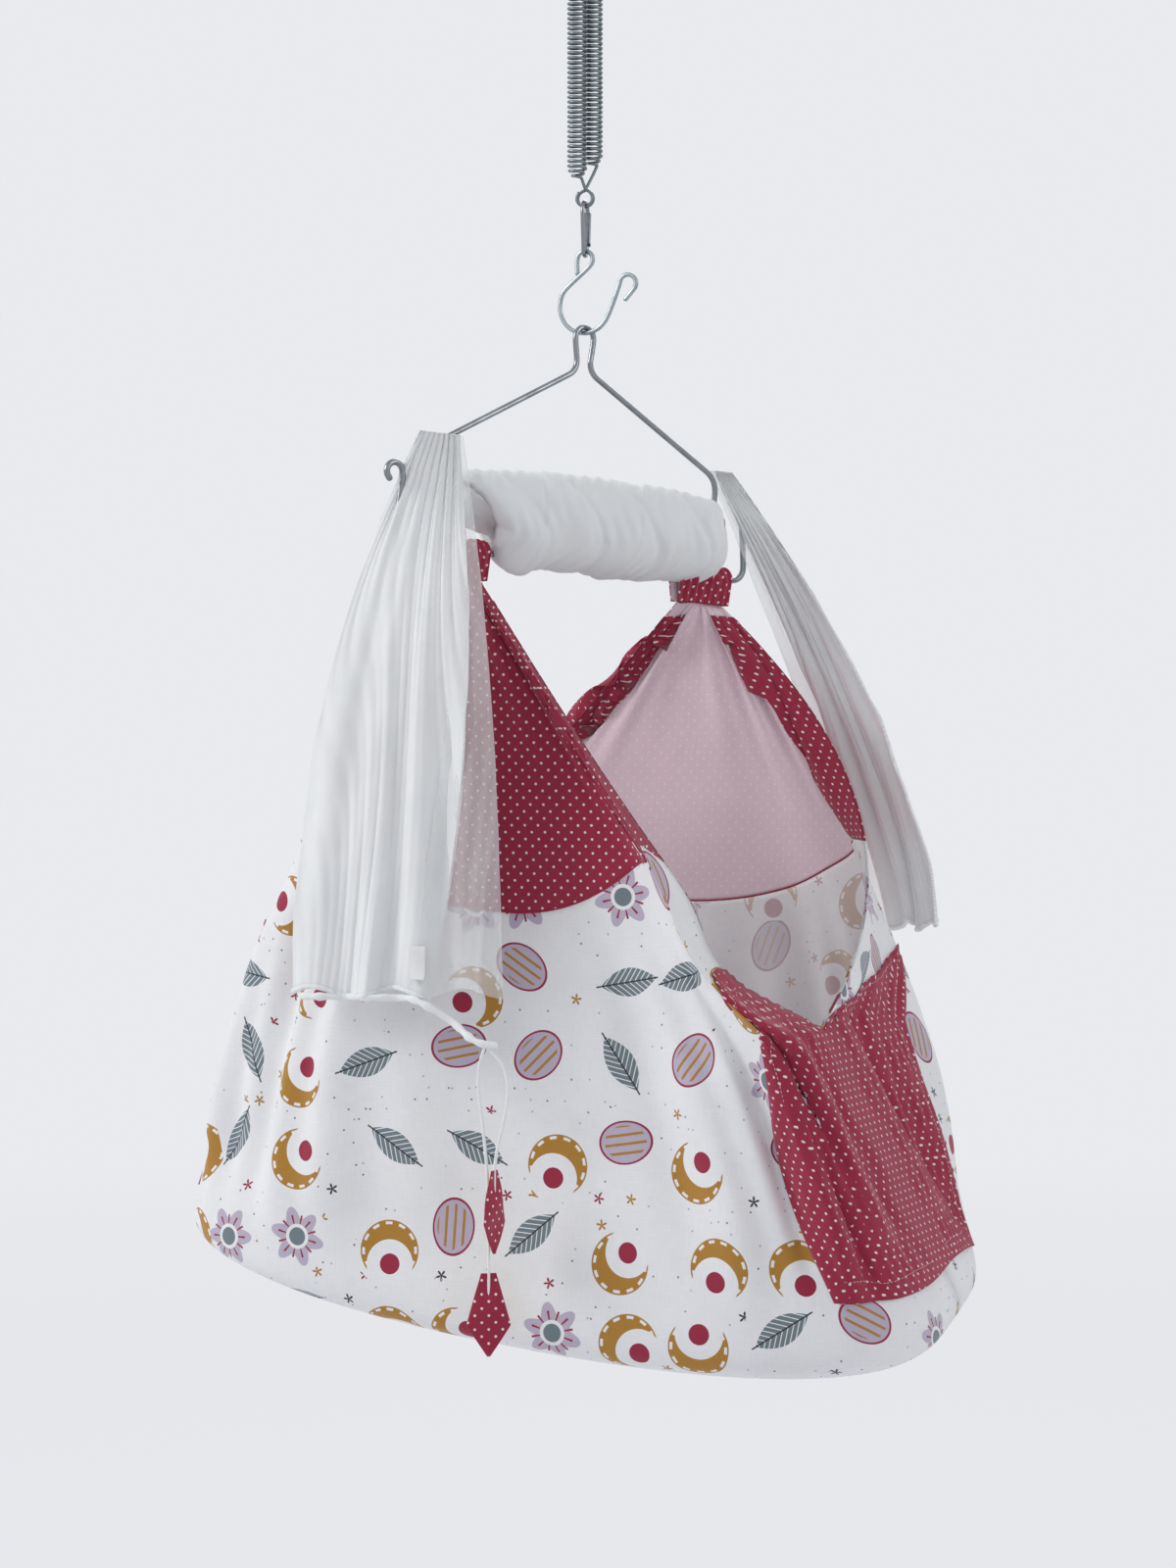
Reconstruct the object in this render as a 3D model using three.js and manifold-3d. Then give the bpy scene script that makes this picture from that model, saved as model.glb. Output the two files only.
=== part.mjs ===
// A hanging baby cradle: two extension springs, a snap hook, an open hook, a wire hanger with its
// spreader rod, and a cloth sling under a rolled mosquito net. Millimetres, +Z up. The origin is where
// the upper ring rests on what holds it up. X runs along the sling's length, and -Y is its near side.
import * as THREE from "three";
import { mergeVertices } from "three/addons/utils/BufferGeometryUtils.js";
import Module from "manifold-3d";

const wasm = await Module();
wasm.setup();

// Driving sizes shared by more than one piece
const seatGap = 0.3; // between pieces that touch
const slingLength = 730; // of the floor, along X
const slingWidth = 390; // of the floor, along Y
const slingFloorDrop = 1238; // from the origin down to the middle of the floor, before it sags
const clothThick = 2.4; // of the cotton, its hems and the air in its folds
const spreaderLength = 380; // of the rod between the insides of its end hooks

// Which way each flat wire piece faces, as a turn about the plumb line
const degree = Math.PI / 180;
const loopTurn = 3 * degree;
const snapTurn = 93 * degree;
const hookTurn = -7 * degree;
const spreaderTurn = 55 * degree;
const spreaderTilt = 3 * degree; // the far end hangs a little lower

// Materials, one per finish
const finish = (color, roughness, metalness) =>
  new THREE.MeshStandardMaterial({ color, roughness, metalness });
const zinc = () => finish(0xb4bcc0, 0.35, 1);
const chrome = () => finish(0x8e9499, 0.18, 1);
const crimson = () => finish(0x9e2140, 0.85, 0);
const printedCotton = () => finish(0xf1f1f2, 0.85, 0);
const netting = () => finish(0xe4e8ea, 0.9, 0);
const cordCotton = () => finish(0xf2f2f0, 0.85, 0);

const root = new THREE.Group();
root.name = "hanging_cradle";

function addPiece(name, geometry, material, parent = root) {
  const mesh = new THREE.Mesh(geometry, material);
  mesh.name = name;
  parent.add(mesh);
  return mesh;
}

const at = (x, y, z) => new THREE.Vector3(x, y, z);
const lerp = (a, b, share) => a + (b - a) * share;
const smooth = (share) => {
  const held = Math.min(1, Math.max(0, share));
  return held * held * (3 - 2 * held);
};

// A group turned about the plumb line, so that its own XZ plane is the plane of a flat wire piece.
function standingPlane(turn, drop) {
  const plane = new THREE.Group();
  plane.rotation.z = turn;
  plane.position.z = -drop;
  root.add(plane);
  return plane;
}

// A round section as a polygon.
function roundSection(radius, sides) {
  const shape = new THREE.Shape();
  for (let i = 0; i < sides; i += 1) {
    const turn = (2 * Math.PI * i) / sides;
    const x = radius * Math.cos(turn);
    const y = radius * Math.sin(turn);
    if (i === 0) shape.moveTo(x, y);
    else shape.lineTo(x, y);
  }
  shape.closePath();
  return shape;
}

// A wire of round section along a curve, with closed ends.
function wireAlong(curve, wire, steps, sides = 8) {
  return new THREE.ExtrudeGeometry(roundSection(wire / 2, sides), {
    steps,
    bevelEnabled: false,
    extrudePath: curve,
  });
}

// A smooth curve through a few points.
const smoothThrough = (points) =>
  new THREE.CatmullRomCurve3(points, false, "centripetal");

// Straight runs joined by bends of one radius at the corners.
class BentWire extends THREE.Curve {
  constructor(corners, bend) {
    super();
    this.path = new THREE.CurvePath();
    let from = corners[0];
    for (let i = 1; i < corners.length - 1; i += 1) {
      const before = corners[i - 1].clone().sub(corners[i]);
      const after = corners[i + 1].clone().sub(corners[i]);
      const reach = Math.min(bend, before.length() / 2.2, after.length() / 2.2);
      const start = corners[i].clone().add(before.setLength(reach));
      const end = corners[i].clone().add(after.setLength(reach));
      this.path.add(new THREE.LineCurve3(from, start));
      this.path.add(new THREE.QuadraticBezierCurve3(start, corners[i], end));
      from = end;
    }
    this.path.add(new THREE.LineCurve3(from, corners[corners.length - 1]));
  }

  getPoint(share, target = new THREE.Vector3()) {
    return target.copy(this.path.getPoint(share));
  }
}

// Solids for cuts and joins
function solidOf(geometry) {
  const bare = geometry.clone();
  bare.deleteAttribute("normal");
  bare.deleteAttribute("uv");
  const merged = mergeVertices(bare, 1e-4);
  return new wasm.Manifold(
    new wasm.Mesh({
      numProp: 3,
      vertProperties: new Float32Array(merged.attributes.position.array),
      triVerts: new Uint32Array(merged.index.array),
    }),
  );
}

function geometryOf(solid) {
  const mesh = solid.getMesh();
  const geometry = new THREE.BufferGeometry();
  geometry.setAttribute(
    "position",
    new THREE.BufferAttribute(new Float32Array(mesh.vertProperties), 3),
  );
  geometry.setIndex(new THREE.BufferAttribute(new Uint32Array(mesh.triVerts), 1));
  geometry.computeVertexNormals();
  return geometry;
}

// The largest body of a cut solid, without the slivers that a cut along a surface can leave.
const largest = (solid) => solid.decompose().sort((a, b) => b.volume() - a.volume())[0];

// A closed skin from rows of points: each row is a ring, and the first and last are closed by a fan.
function skinOfRings(rings) {
  const around = rings[0].length;
  const points = rings.flat();
  const faces = [];
  for (let row = 0; row < rings.length - 1; row += 1) {
    for (let i = 0; i < around; i += 1) {
      const a = row * around + i;
      const b = row * around + ((i + 1) % around);
      faces.push(a, b, b + around, a, b + around, a + around);
    }
  }
  const centre = (ring) =>
    ring.reduce((sum, p) => sum.add(p), at(0, 0, 0)).divideScalar(ring.length);
  points.push(centre(rings[0]), centre(rings[rings.length - 1]));
  const last = (rings.length - 1) * around;
  for (let i = 0; i < around; i += 1) {
    const next = (i + 1) % around;
    faces.push(points.length - 2, next, i);
    faces.push(points.length - 1, last + i, last + next);
  }
  return indexed(points, faces);
}

function indexed(points, faces) {
  const geometry = new THREE.BufferGeometry().setFromPoints(points);
  geometry.setIndex(faces);
  geometry.computeVertexNormals();
  return geometry;
}

// Upper ring
const ringWire = 5;
const ringBore = 26;
const ringMiddle = (ringBore + ringWire) / 2; // radius to the middle of its wire
const ringBottomDrop = ringBore + ringWire / 2; // to the middle of its wire at the bottom

function buildUpperRing() {
  const ring = new THREE.TorusGeometry(ringMiddle, ringWire / 2, 8, 28);
  ring.rotateX(Math.PI / 2);
  const plane = standingPlane(snapTurn, ringBore / 2);
  addPiece("upper_ring", ring, zinc(), plane);
}

// How far an arc falls away from its top at a distance to one side.
const arcFall = (radius, aside) => radius - Math.sqrt(radius * radius - aside * aside);

// Springs: one unbroken wire each, with a loop at both ends
const springWire = 3;
const springMean = 16; // middle of the wire to middle of the wire
const springTurns = 38;
const springPitch = 4.6; // stretched a little by the cradle's weight
const turnSteps = 6;
const wireSides = 5;
const springLoop = 15; // middle of the wire, across the end loop
const springApart = 20.5; // between the two axes
const springApartTurn = 62 * degree;
const loopsApart = 4.6; // between the two loops where they share a bow
const taperTurns = 2;
const taperShare = 0.5; // the radius at the ends, of the radius of the body
const longShank = 32; // from the coil's end to the middle of its loop
const shortShank = 18;
const springHead = // from the origin down to the middle of the upper loops
  ringBottomDrop - (ringWire + springWire) / 2 - seatGap - arcFall(ringMiddle, loopsApart / 2) + springLoop / 2;
const springFoot = springHead + longShank + springTurns * springPitch + shortShank;

// The centreline of one spring, from its upper loop to its lower one. side is -1 or 1.
function springLine(side, upperShank) {
  const axis = at(Math.cos(springApartTurn), Math.sin(springApartTurn), 0)
    .multiplyScalar((side * springApart) / 2);
  const top = -springHead - upperShank;
  const count = springTurns * turnSteps;
  const coil = [];
  for (let i = 0; i <= count; i += 1) {
    const turned = i / turnSteps;
    const fromEnd = Math.min(turned, springTurns - turned);
    const radius = (springMean / 2) * lerp(taperShare, 1, smooth(fromEnd / taperTurns));
    const angle = 2 * Math.PI * turned + loopTurn;
    coil.push(
      at(
        axis.x + radius * Math.cos(angle),
        axis.y + radius * Math.sin(angle),
        top - turned * springPitch,
      ),
    );
  }
  const upper = loopPoints(side, -springHead, 1);
  const lower = loopPoints(side, -springFoot, -1);
  return [...upper, ...coil, ...lower.reverse()];
}

// An end loop, open by a small gap, from its free tip to its shank. way is 1 at the top of the spring.
function loopPoints(side, height, way) {
  const steps = 12;
  const open = 50 * degree;
  const across = at(Math.cos(loopTurn), Math.sin(loopTurn), 0);
  const off = at(Math.cos(snapTurn), Math.sin(snapTurn), 0).multiplyScalar((side * loopsApart) / 2);
  const points = [];
  for (let i = 0; i <= steps; i += 1) {
    const angle = -Math.PI / 2 + open + ((2 * Math.PI - open * 1.25) * i) / steps;
    const reach = (side * springLoop * Math.cos(angle)) / 2;
    points.push(
      at(off.x + across.x * reach, off.y + across.y * reach, height + (way * springLoop * Math.sin(angle)) / 2),
    );
  }
  return points;
}

// A tube of few sides through points, closed at both ends.
function tubeThrough(points, wire, sides) {
  const rings = [];
  const tangent = (i) =>
    points[Math.min(i + 1, points.length - 1)]
      .clone()
      .sub(points[Math.max(i - 1, 0)])
      .normalize();
  let side = at(0, 0, 1).cross(tangent(0)).normalize();
  if (side.length() < 0.5) side = at(1, 0, 0);
  points.forEach((point, i) => {
    const along = tangent(i);
    side.sub(along.clone().multiplyScalar(side.dot(along))).normalize();
    const other = along.clone().cross(side);
    const ring = [];
    for (let k = 0; k < sides; k += 1) {
      const turn = (2 * Math.PI * k) / sides;
      ring.push(
        point
          .clone()
          .addScaledVector(side, (wire / 2) * Math.cos(turn))
          .addScaledVector(other, (wire / 2) * Math.sin(turn)),
      );
    }
    rings.push(ring);
  });
  return skinOfRings(rings);
}

// The least gap between stretches of one wire that are more than half a turn apart along it.
function leastGap(points, wire) {
  const fine = [];
  for (let i = 0; i < points.length - 1; i += 1)
    for (let k = 0; k < 4; k += 1) fine.push(points[i].clone().lerp(points[i + 1], k / 4));
  const away = 2 * turnSteps;
  let least = Infinity;
  for (let i = 0; i < fine.length; i += 1)
    for (let j = i + away; j < fine.length; j += 1)
      least = Math.min(least, fine[i].distanceTo(fine[j]));
  return least - wire;
}

function buildSprings() {
  const springs = [
    ["spring_near", -1, longShank],
    ["spring_far", 1, shortShank],
  ];
  for (const [name, side, upperShank] of springs) {
    const line = springLine(side, upperShank);
    addPiece(name, tubeThrough(line, springWire, wireSides), zinc());
    console.log(name, "least gap to itself", leastGap(line, springWire).toFixed(2), "mm");
  }
}

// Snap hook: a bent wire bow with an opening on one side, and a sprung gate on a rivet that closes it
const snapWire = 4;
const snapTop = 9; // radius of the upper bow, to the middle of the wire
const snapFoot = 5.5; // radius of the lower bow
const snapLong = 36; // between the centres of the two bows
const snapNose = 105 * degree; // how far the wire comes round past the top on the gate's side
const gateWall = 0.8;
const gateWide = snapWire + 2 * (gateWall + seatGap);
const rivetThick = 1.8;
const rivetHead = 3.4;
const rivetHeadThick = 0.8;
const snapDrop = // from the origin down to the middle of the wire at the upper bow's top
  springFoot + springLoop / 2 - (snapWire + springWire) / 2 - seatGap - arcFall(snapTop, loopsApart / 2);
const overrun = 1; // past a face in every cut

// Points on an arc in the XZ plane, from one angle to another, measured from +X towards +Z.
function arcPoints(x, z, radius, from, to, steps) {
  const points = [];
  for (let i = 0; i <= steps; i += 1) {
    const angle = lerp(from, to, i / steps);
    points.push(at(x + radius * Math.cos(angle), 0, z + radius * Math.sin(angle)));
  }
  return points;
}

const snapTopZ = -snapTop;
const snapFootZ = -snapTop - snapLong;
const gatePivot = at(snapFoot, 0, snapFootZ + snapFoot); // the rivet, in the snap hook's own plane

function buildSnapHook() {
  const plane = standingPlane(snapTurn, snapDrop);
  const body = smoothThrough([
    ...arcPoints(0, snapTopZ, snapTop, Math.PI / 2 - snapNose, Math.PI, 10),
    ...arcPoints(0, snapFootZ, snapFoot, Math.PI, 2 * Math.PI, 8),
    gatePivot.clone().add(at(0, 0, rivetThick)),
  ]);
  const hole = new THREE.CylinderGeometry(
    rivetThick / 2 + seatGap / 2, rivetThick / 2 + seatGap / 2, gateWide + 2 * overrun, 12);
  hole.translate(gatePivot.x, gatePivot.y, gatePivot.z);
  const drilled = solidOf(wireAlong(body, snapWire, 40, 8)).subtract(solidOf(hole));
  addPiece("snap_hook_body", geometryOf(drilled), chrome(), plane);
  addPiece("snap_hook_gate", gateGeometry(body, hole), chrome(), plane);
  addPiece("snap_hook_rivet", rivetGeometry(), chrome(), plane);
}

// The gate is a folded channel whose cheeks stand on both sides of the wire, from the rivet to the nose.
function gateGeometry(body, hole) {
  const nose = body.getPoint(0);
  const reach = nose.clone().sub(gatePivot);
  const inside = gateWide / 2 - gateWall;
  const low = -snapWire / 2 - seatGap;
  const long = reach.length() + snapWire / 2;
  const profile = new THREE.Shape([
    new THREE.Vector2(-gateWide / 2, low),
    new THREE.Vector2(-inside, low),
    new THREE.Vector2(-inside, -low),
    new THREE.Vector2(inside, -low),
    new THREE.Vector2(inside, low),
    new THREE.Vector2(gateWide / 2, low),
    new THREE.Vector2(gateWide / 2, -low + gateWall),
    new THREE.Vector2(-gateWide / 2, -low + gateWall),
  ]);
  const channel = new THREE.ExtrudeGeometry(profile, { depth: long + snapWire / 2, bevelEnabled: false });
  channel.translate(0, 0, -snapWire / 2);
  channel.rotateZ(Math.PI / 2);
  channel.rotateY(Math.atan2(reach.x, reach.z));
  channel.translate(gatePivot.x, 0, gatePivot.z);
  const room = wireAlong(body, snapWire + 2 * seatGap, 40, 8);
  const heel = new THREE.BoxGeometry(gateWall + overrun, gateWide + overrun, snapWire + overrun);
  heel.translate(gatePivot.x + low - (gateWall + overrun) / 2, 0, gatePivot.z - (snapWire + overrun) / 2);
  return geometryOf([room, heel, hole].reduce((left, cut) => left.subtract(solidOf(cut)), solidOf(channel)));
}

function rivetGeometry() {
  const reach = gateWide / 2 + seatGap;
  const profile = [
    new THREE.Vector2(0, -reach - rivetHeadThick),
    new THREE.Vector2(rivetHead / 2, -reach - rivetHeadThick / 2),
    new THREE.Vector2(rivetHead / 2, -reach),
    new THREE.Vector2(rivetThick / 2 - seatGap / 2, -reach),
    new THREE.Vector2(rivetThick / 2 - seatGap / 2, reach),
    new THREE.Vector2(rivetHead / 2, reach),
    new THREE.Vector2(rivetHead / 2, reach + rivetHeadThick / 2),
    new THREE.Vector2(0, reach + rivetHeadThick),
  ];
  const rivet = new THREE.LatheGeometry(profile, 12);
  rivet.translate(gatePivot.x, 0, gatePivot.z);
  return rivet;
}

// Open hook: a small curl on top, a wide bowl, and a curled end that keeps the hanger from slipping off
const hookWire = 4.5;
const hookCurl = 8; // radius of the upper curl, to the middle of the wire
const hookBowl = 26; // radius of the bowl
const hookTip = 8.5; // radius of the curled end
const hookTall = 77; // between the middles of the wire at top and bottom
const hookTipRise = 44; // from the bottom of the bowl to the middle of the curled end
const hookTipAside = 44;
const hookDrop = // from the origin down to the middle of the wire at the curl's top
  snapDrop + 2 * snapFoot / 2 + snapLong + snapTop - (snapWire + hookWire) / 2 - seatGap;

function buildOpenHook() {
  const plane = standingPlane(hookTurn, hookDrop);
  const bowlZ = -hookTall + hookBowl;
  const tipZ = -hookTall + hookTipRise;
  const line = smoothThrough([
    at(-hookCurl, 0, -hookCurl * 2.6),
    ...arcPoints(0, -hookCurl, hookCurl, Math.PI, -0.25 * Math.PI, 8),
    ...arcPoints(0, bowlZ, hookBowl, 0.83 * Math.PI, 1.85 * Math.PI, 10),
    ...arcPoints(hookTipAside, tipZ, hookTip, Math.PI, -0.3 * Math.PI, 7),
    at(hookTipAside - hookTip * 0.25, 0, tipZ - hookTip * 1.7),
  ]);
  addPiece("open_hook", wireAlong(line, hookWire, 64, 8), zinc(), plane);
}

// Hanger: one bent wire with an eye, two arms and two legs that close round the spreader rod
const hangerWire = 5.5;
const eyeRadius = 10.5; // to the middle of the wire
const eyeTall = 41; // from the eye's top down to the neck
const neckApart = 13; // between the two wires at the neck
const armReach = 165; // from the middle to a leg
const armFall = 86; // from the neck down to the bend over a leg
const armBend = 14;
const rodWire = 6;
const rodDrop = 222; // from the eye's top down to the middle of the rod
const hangerDrop = // from the origin down to the middle of the wire at the eye's top
  hookDrop + hookTall - (hookWire + hangerWire) / 2 - seatGap;

// A place on the spreader: along the rod from its middle, aside from it, and down from the eye's top.
const tiltAndTurn = new THREE.Matrix4()
  .makeRotationZ(spreaderTurn)
  .multiply(new THREE.Matrix4().makeRotationY(spreaderTilt));
const onSpreader = (along, aside, down) =>
  at(along, aside, -down).applyMatrix4(tiltAndTurn).add(at(0, 0, -hangerDrop));

function spreaderPlane() {
  const plane = standingPlane(spreaderTurn, hangerDrop);
  const tilted = new THREE.Group();
  tilted.rotation.y = spreaderTilt;
  plane.add(tilted);
  return tilted;
}

// Half of the hanger's centreline, from the eye's top to the closed end round the rod. side is -1 or 1.
function hangerHalf(side) {
  const closeRadius = (rodWire + hangerWire) / 2 + seatGap;
  const neck = -eyeTall;
  const bend = neck - armFall;
  const arm = new BentWire(
    [
      at(side * eyeRadius * 0.97, 0, -eyeRadius * 1.5),
      at((side * neckApart) / 2, 0, neck),
      at(side * armReach, 0, bend),
      at(side * armReach, closeRadius, -rodDrop + closeRadius),
    ],
    armBend,
  );
  const points = arcPoints(0, -eyeRadius, eyeRadius, Math.PI / 2, side > 0 ? 0 : Math.PI, 5);
  const armSteps = 22;
  for (let i = 0; i <= armSteps; i += 1) points.push(arm.getPoint(i / armSteps));
  const turns = 14;
  for (let i = 0; i <= turns; i += 1) {
    const angle = -1.6 * Math.PI * (i / turns);
    points.push(
      at(
        side * (armReach - (hangerWire + seatGap) * (i / turns)),
        closeRadius * Math.cos(angle),
        -rodDrop + closeRadius * Math.sin(angle),
      ),
    );
  }
  return points;
}

function hangerTube(wire) {
  return tubeThrough([...hangerHalf(-1).reverse(), ...hangerHalf(1).slice(1)], wire, 8);
}

function buildHanger(plane) {
  addPiece("hanger", hangerTube(hangerWire), chrome(), plane);
}

// The same place as a piece's in the spreader's plane, for a cut in a piece that hangs outside it.
const outOfSpreader = (geometry) => geometry.applyMatrix4(tiltAndTurn).translate(0, 0, -hangerDrop);

// Spreader rod: a straight wire whose ends turn up into hooks that finish in an open curl
const hookBend = 13; // radius of the turn up from the rod
const hookShank = 52; // straight, between the turn and the curl
const hookLean = 4; // how far the shank leans back over the rod
const endCurl = 8.5;

function rodHalf(side) {
  const out = spreaderLength / 2;
  const up = -rodDrop + hookBend + hookShank;
  const points = [at(0, 0, -rodDrop), at(sleeveFrom, 0, -rodDrop), at(out - hookBend / 2, 0, -rodDrop)];
  points.push(...arcPoints(out, -rodDrop + hookBend, hookBend, -Math.PI / 2, 0, 5));
  const reach = out + hookBend - hookLean;
  points.push(...arcPoints(reach + endCurl, up, endCurl, Math.PI, -0.28 * Math.PI, 8));
  return points.map((p) => at(side * p.x, p.y, p.z));
}

function rodLine() {
  return smoothThrough([...rodHalf(-1).reverse(), ...rodHalf(1).slice(1)]);
}

function buildRod(plane) {
  addPiece("spreader_rod", wireAlong(rodLine(), rodWire, 60, 8), chrome(), plane);
}

// Rod sleeves: the hems of the sling's two yokes, which the rod runs through
const sleeveFrom = 104; // along the rod from its middle
const sleeveTo = 154;
const sleeveRadius = 11;
const sleeveTail = 26; // from the rod down to the foot of the sleeve
const sleeveFootHalf = 5;
const sleeveBore = rodWire / 2 + seatGap;

function sleeveProfile(grown) {
  const points = [];
  const steps = 12;
  for (let i = 0; i <= steps; i += 1) {
    const angle = lerp(-0.12 * Math.PI, 1.12 * Math.PI, i / steps);
    points.push(
      new THREE.Vector2((sleeveRadius + grown) * Math.cos(angle), (sleeveRadius + grown) * Math.sin(angle)),
    );
  }
  points.push(new THREE.Vector2(-sleeveFootHalf - grown, -sleeveTail - grown));
  points.push(new THREE.Vector2(sleeveFootHalf + grown, -sleeveTail - grown));
  return new THREE.Shape(points);
}

// A solid between two places along the rod, from a profile seen along it.
function alongRod(profile, from, to) {
  const bar = new THREE.ExtrudeGeometry(profile, { depth: to - from, bevelEnabled: false });
  bar.translate(0, 0, from);
  bar.rotateX(Math.PI / 2);
  bar.rotateZ(Math.PI / 2);
  bar.translate(0, 0, -rodDrop);
  return bar;
}

function buildSleeves(plane) {
  const bore = roundSection(sleeveBore, 12);
  for (const [name, from, to] of [
    ["rod_sleeve_near", -sleeveTo, -sleeveFrom],
    ["rod_sleeve_far", sleeveFrom, sleeveTo],
  ]) {
    const sleeve = solidOf(alongRod(sleeveProfile(0), from, to));
    const hole = solidOf(alongRod(bore, from - overrun, to + overrun));
    addPiece(name, geometryOf(sleeve.subtract(hole)), crimson(), plane);
  }
}

// Cloth: a sheet given as a grid of points gets its thickness on one side
class Sheet {
  constructor() {
    this.points = [];
    this.faces = [];
    this.known = new Map();
  }

  // The number of the point under this key, made by the function when it is new.
  point(key, make) {
    if (!this.known.has(key)) {
      this.known.set(key, this.points.length);
      this.points.push(make());
    }
    return this.known.get(key);
  }

  // Two triangles between four corners, in order round the face as seen from outside.
  patch(a, b, c, d) {
    if (a !== b && b !== c && c !== a) this.faces.push([a, b, c]);
    if (a !== c && c !== d && d !== a) this.faces.push([a, c, d]);
  }

  // The direction out of the sheet at each point.
  outward() {
    const sums = this.points.map(() => at(0, 0, 0));
    for (const [a, b, c] of this.faces) {
      const [p, q, r] = [this.points[a], this.points[b], this.points[c]];
      const normal = q.clone().sub(p).cross(r.clone().sub(p));
      for (const i of [a, b, c]) sums[i].add(normal);
    }
    return sums.map((sum) => sum.normalize());
  }

  // A closed solid between the sheet moved out by one distance and by a smaller one.
  solid(outer, inner) {
    const out = this.outward();
    const count = this.points.length;
    const points = [
      ...this.points.map((p, i) => p.clone().addScaledVector(out[i], outer)),
      ...this.points.map((p, i) => p.clone().addScaledVector(out[i], inner)),
    ];
    const faces = [];
    const edges = new Map();
    for (const [a, b, c] of this.faces) {
      faces.push(a, b, c, a + count, c + count, b + count);
      for (const [from, to] of [[a, b], [b, c], [c, a]]) edges.set(`${from} ${to}`, [from, to]);
    }
    for (const [from, to] of edges.values())
      if (!edges.has(`${to} ${from}`)) faces.push(to, from, from + count, to, from + count, to + count);
    return indexed(points, faces);
  }
}

// The sling's floor: a rounded rectangle that sags, lower at its near right corner as it hangs
const floorRiseLeft = 96; // of the left end over the right one
const floorRiseFar = 73; // of the far side over the near one
const floorSag = 30;
const cornerShare = 0.5; // 1 would make the floor an oval, 0 a rectangle
const edgeRound = 22; // how far the floor's rim turns in under the sides

function floorHeight(x, y) {
  const along = (2 * x) / slingLength;
  const aside = (2 * y) / slingWidth;
  const sag = floorSag * (1 - Math.min(1, along * along));
  return -slingFloorDrop - (floorRiseLeft / 2) * along + (floorRiseFar / 2) * aside - sag;
}

// A place on the floor's rim. side 1 is the near half, from the right end to the left one; side -1 the
// far half, from the left end to the right one. share runs along the half.
function rimPlace(side, share, inset = 0) {
  const angle = Math.PI * share;
  const power = (value) => Math.sign(value) * Math.abs(value) ** cornerShare;
  const x = side * (slingLength / 2 - inset) * power(Math.cos(angle));
  const y = -side * (slingWidth / 2 - inset) * power(Math.sin(angle));
  return [x, y];
}

// The fans: each half of the sling rises from the rim to the foot of one rod sleeve
const notchHeight = 0.36; // height share of the low point of the two open ends
const notchAlong = 255; // from the middle to an open end's low point
const notchAside = 110;
const notchLift = 262; // of that point over the floor's rim
const innerEdgeAlong = 205; // where an inner edge bows out to, near its foot
const innerEdgeAside = 205;
const outerEdgeAlong = 300;
const outerEdgeAside = 175;
const innerEdgeLift = 290; // of those places over the floor's rim
const outerEdgeLift = 326;
const seamHeight = 0.56; // height share of the seam between the print and the yoke
const seamGap = 1.5; // between the print and the yoke, whose edges turn a little
const pleats = 5; // in each fan
const pleatDepth = 9;
const edgeReachShares = [0.45, 0.24]; // how far the first and last edges' bows reach into the fan
const fullness = 1.7; // over 1, the sides stand out before they draw in

const yokeHead = (side, share) =>
  onSpreader(
    -side * lerp(sleeveFrom + clothThick, sleeveTo - clothThick, share),
    0,
    rodDrop + sleeveTail + seatGap + clothThick / 2,
  );

const notch = (side) =>
  at(side * notchAlong, -side * notchAside, floorHeight((side * slingLength) / 2, 0) + notchLift);

// The open end's edge at a height share, for a fan: near its first edge (end 0) or its last (end 1).
function openEdge(side, end, height) {
  const endSide = end === 0 ? side : -side;
  const low = notch(endSide);
  const [footX, footY] = rimPlace(endSide, 0);
  if (height <= notchHeight) {
    const foot = at(footX, footY, floorHeight(footX, footY));
    return foot.lerp(low, height / notchHeight);
  }
  const t = (height - notchHeight) / (1 - notchHeight);
  const along = end === 0 ? innerEdgeAlong : outerEdgeAlong;
  const aside = end === 0 ? innerEdgeAside : outerEdgeAside;
  const lift = end === 0 ? innerEdgeLift : outerEdgeLift;
  const bow = at(endSide * along, -side * aside, floorHeight(footX, footY) + lift);
  const curve = new THREE.QuadraticBezierCurve3(low, bow, yokeHead(side, end));
  return curve.getPoint(t);
}

// A point of a fan. share runs from its first edge to its last, height from the rim to the sleeve.
function fanPoint(side, share, height) {
  const plain = (part) => {
    const [x, y] = rimPlace(side, part);
    const foot = at(x, y, floorHeight(x, y));
    const head = yokeHead(side, part);
    const drawn = height ** fullness;
    return at(lerp(foot.x, head.x, drawn), lerp(foot.y, head.y, drawn), lerp(foot.z, head.z, height));
  };
  const point = plain(share);
  const near = [share, 1 - share];
  for (const end of [0, 1]) {
    const pull = 1 - smooth(near[end] / edgeReachShares[end]);
    if (pull > 0) point.addScaledVector(openEdge(side, end, height).sub(plain(end)), pull);
  }
  const fold = Math.sin(Math.PI * height) * (1 - height) * Math.sin(Math.PI * share) ** 2;
  const wave = pleatDepth * fold * Math.cos(2 * Math.PI * pleats * share);
  const out = at(point.x / slingLength, point.y / slingWidth, 0).normalize();
  return point.addScaledVector(out, wave);
}

// Rows of height shares with the notch and the seam among them.
const steps = (from, to, count) => Array.from({ length: count + 1 }, (_, i) => lerp(from, to, i / count));
const lowRows = steps(0, notchHeight, 3);
const midRows = steps(notchHeight, seamHeight, 3);
const fanColumns = 22;

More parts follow.
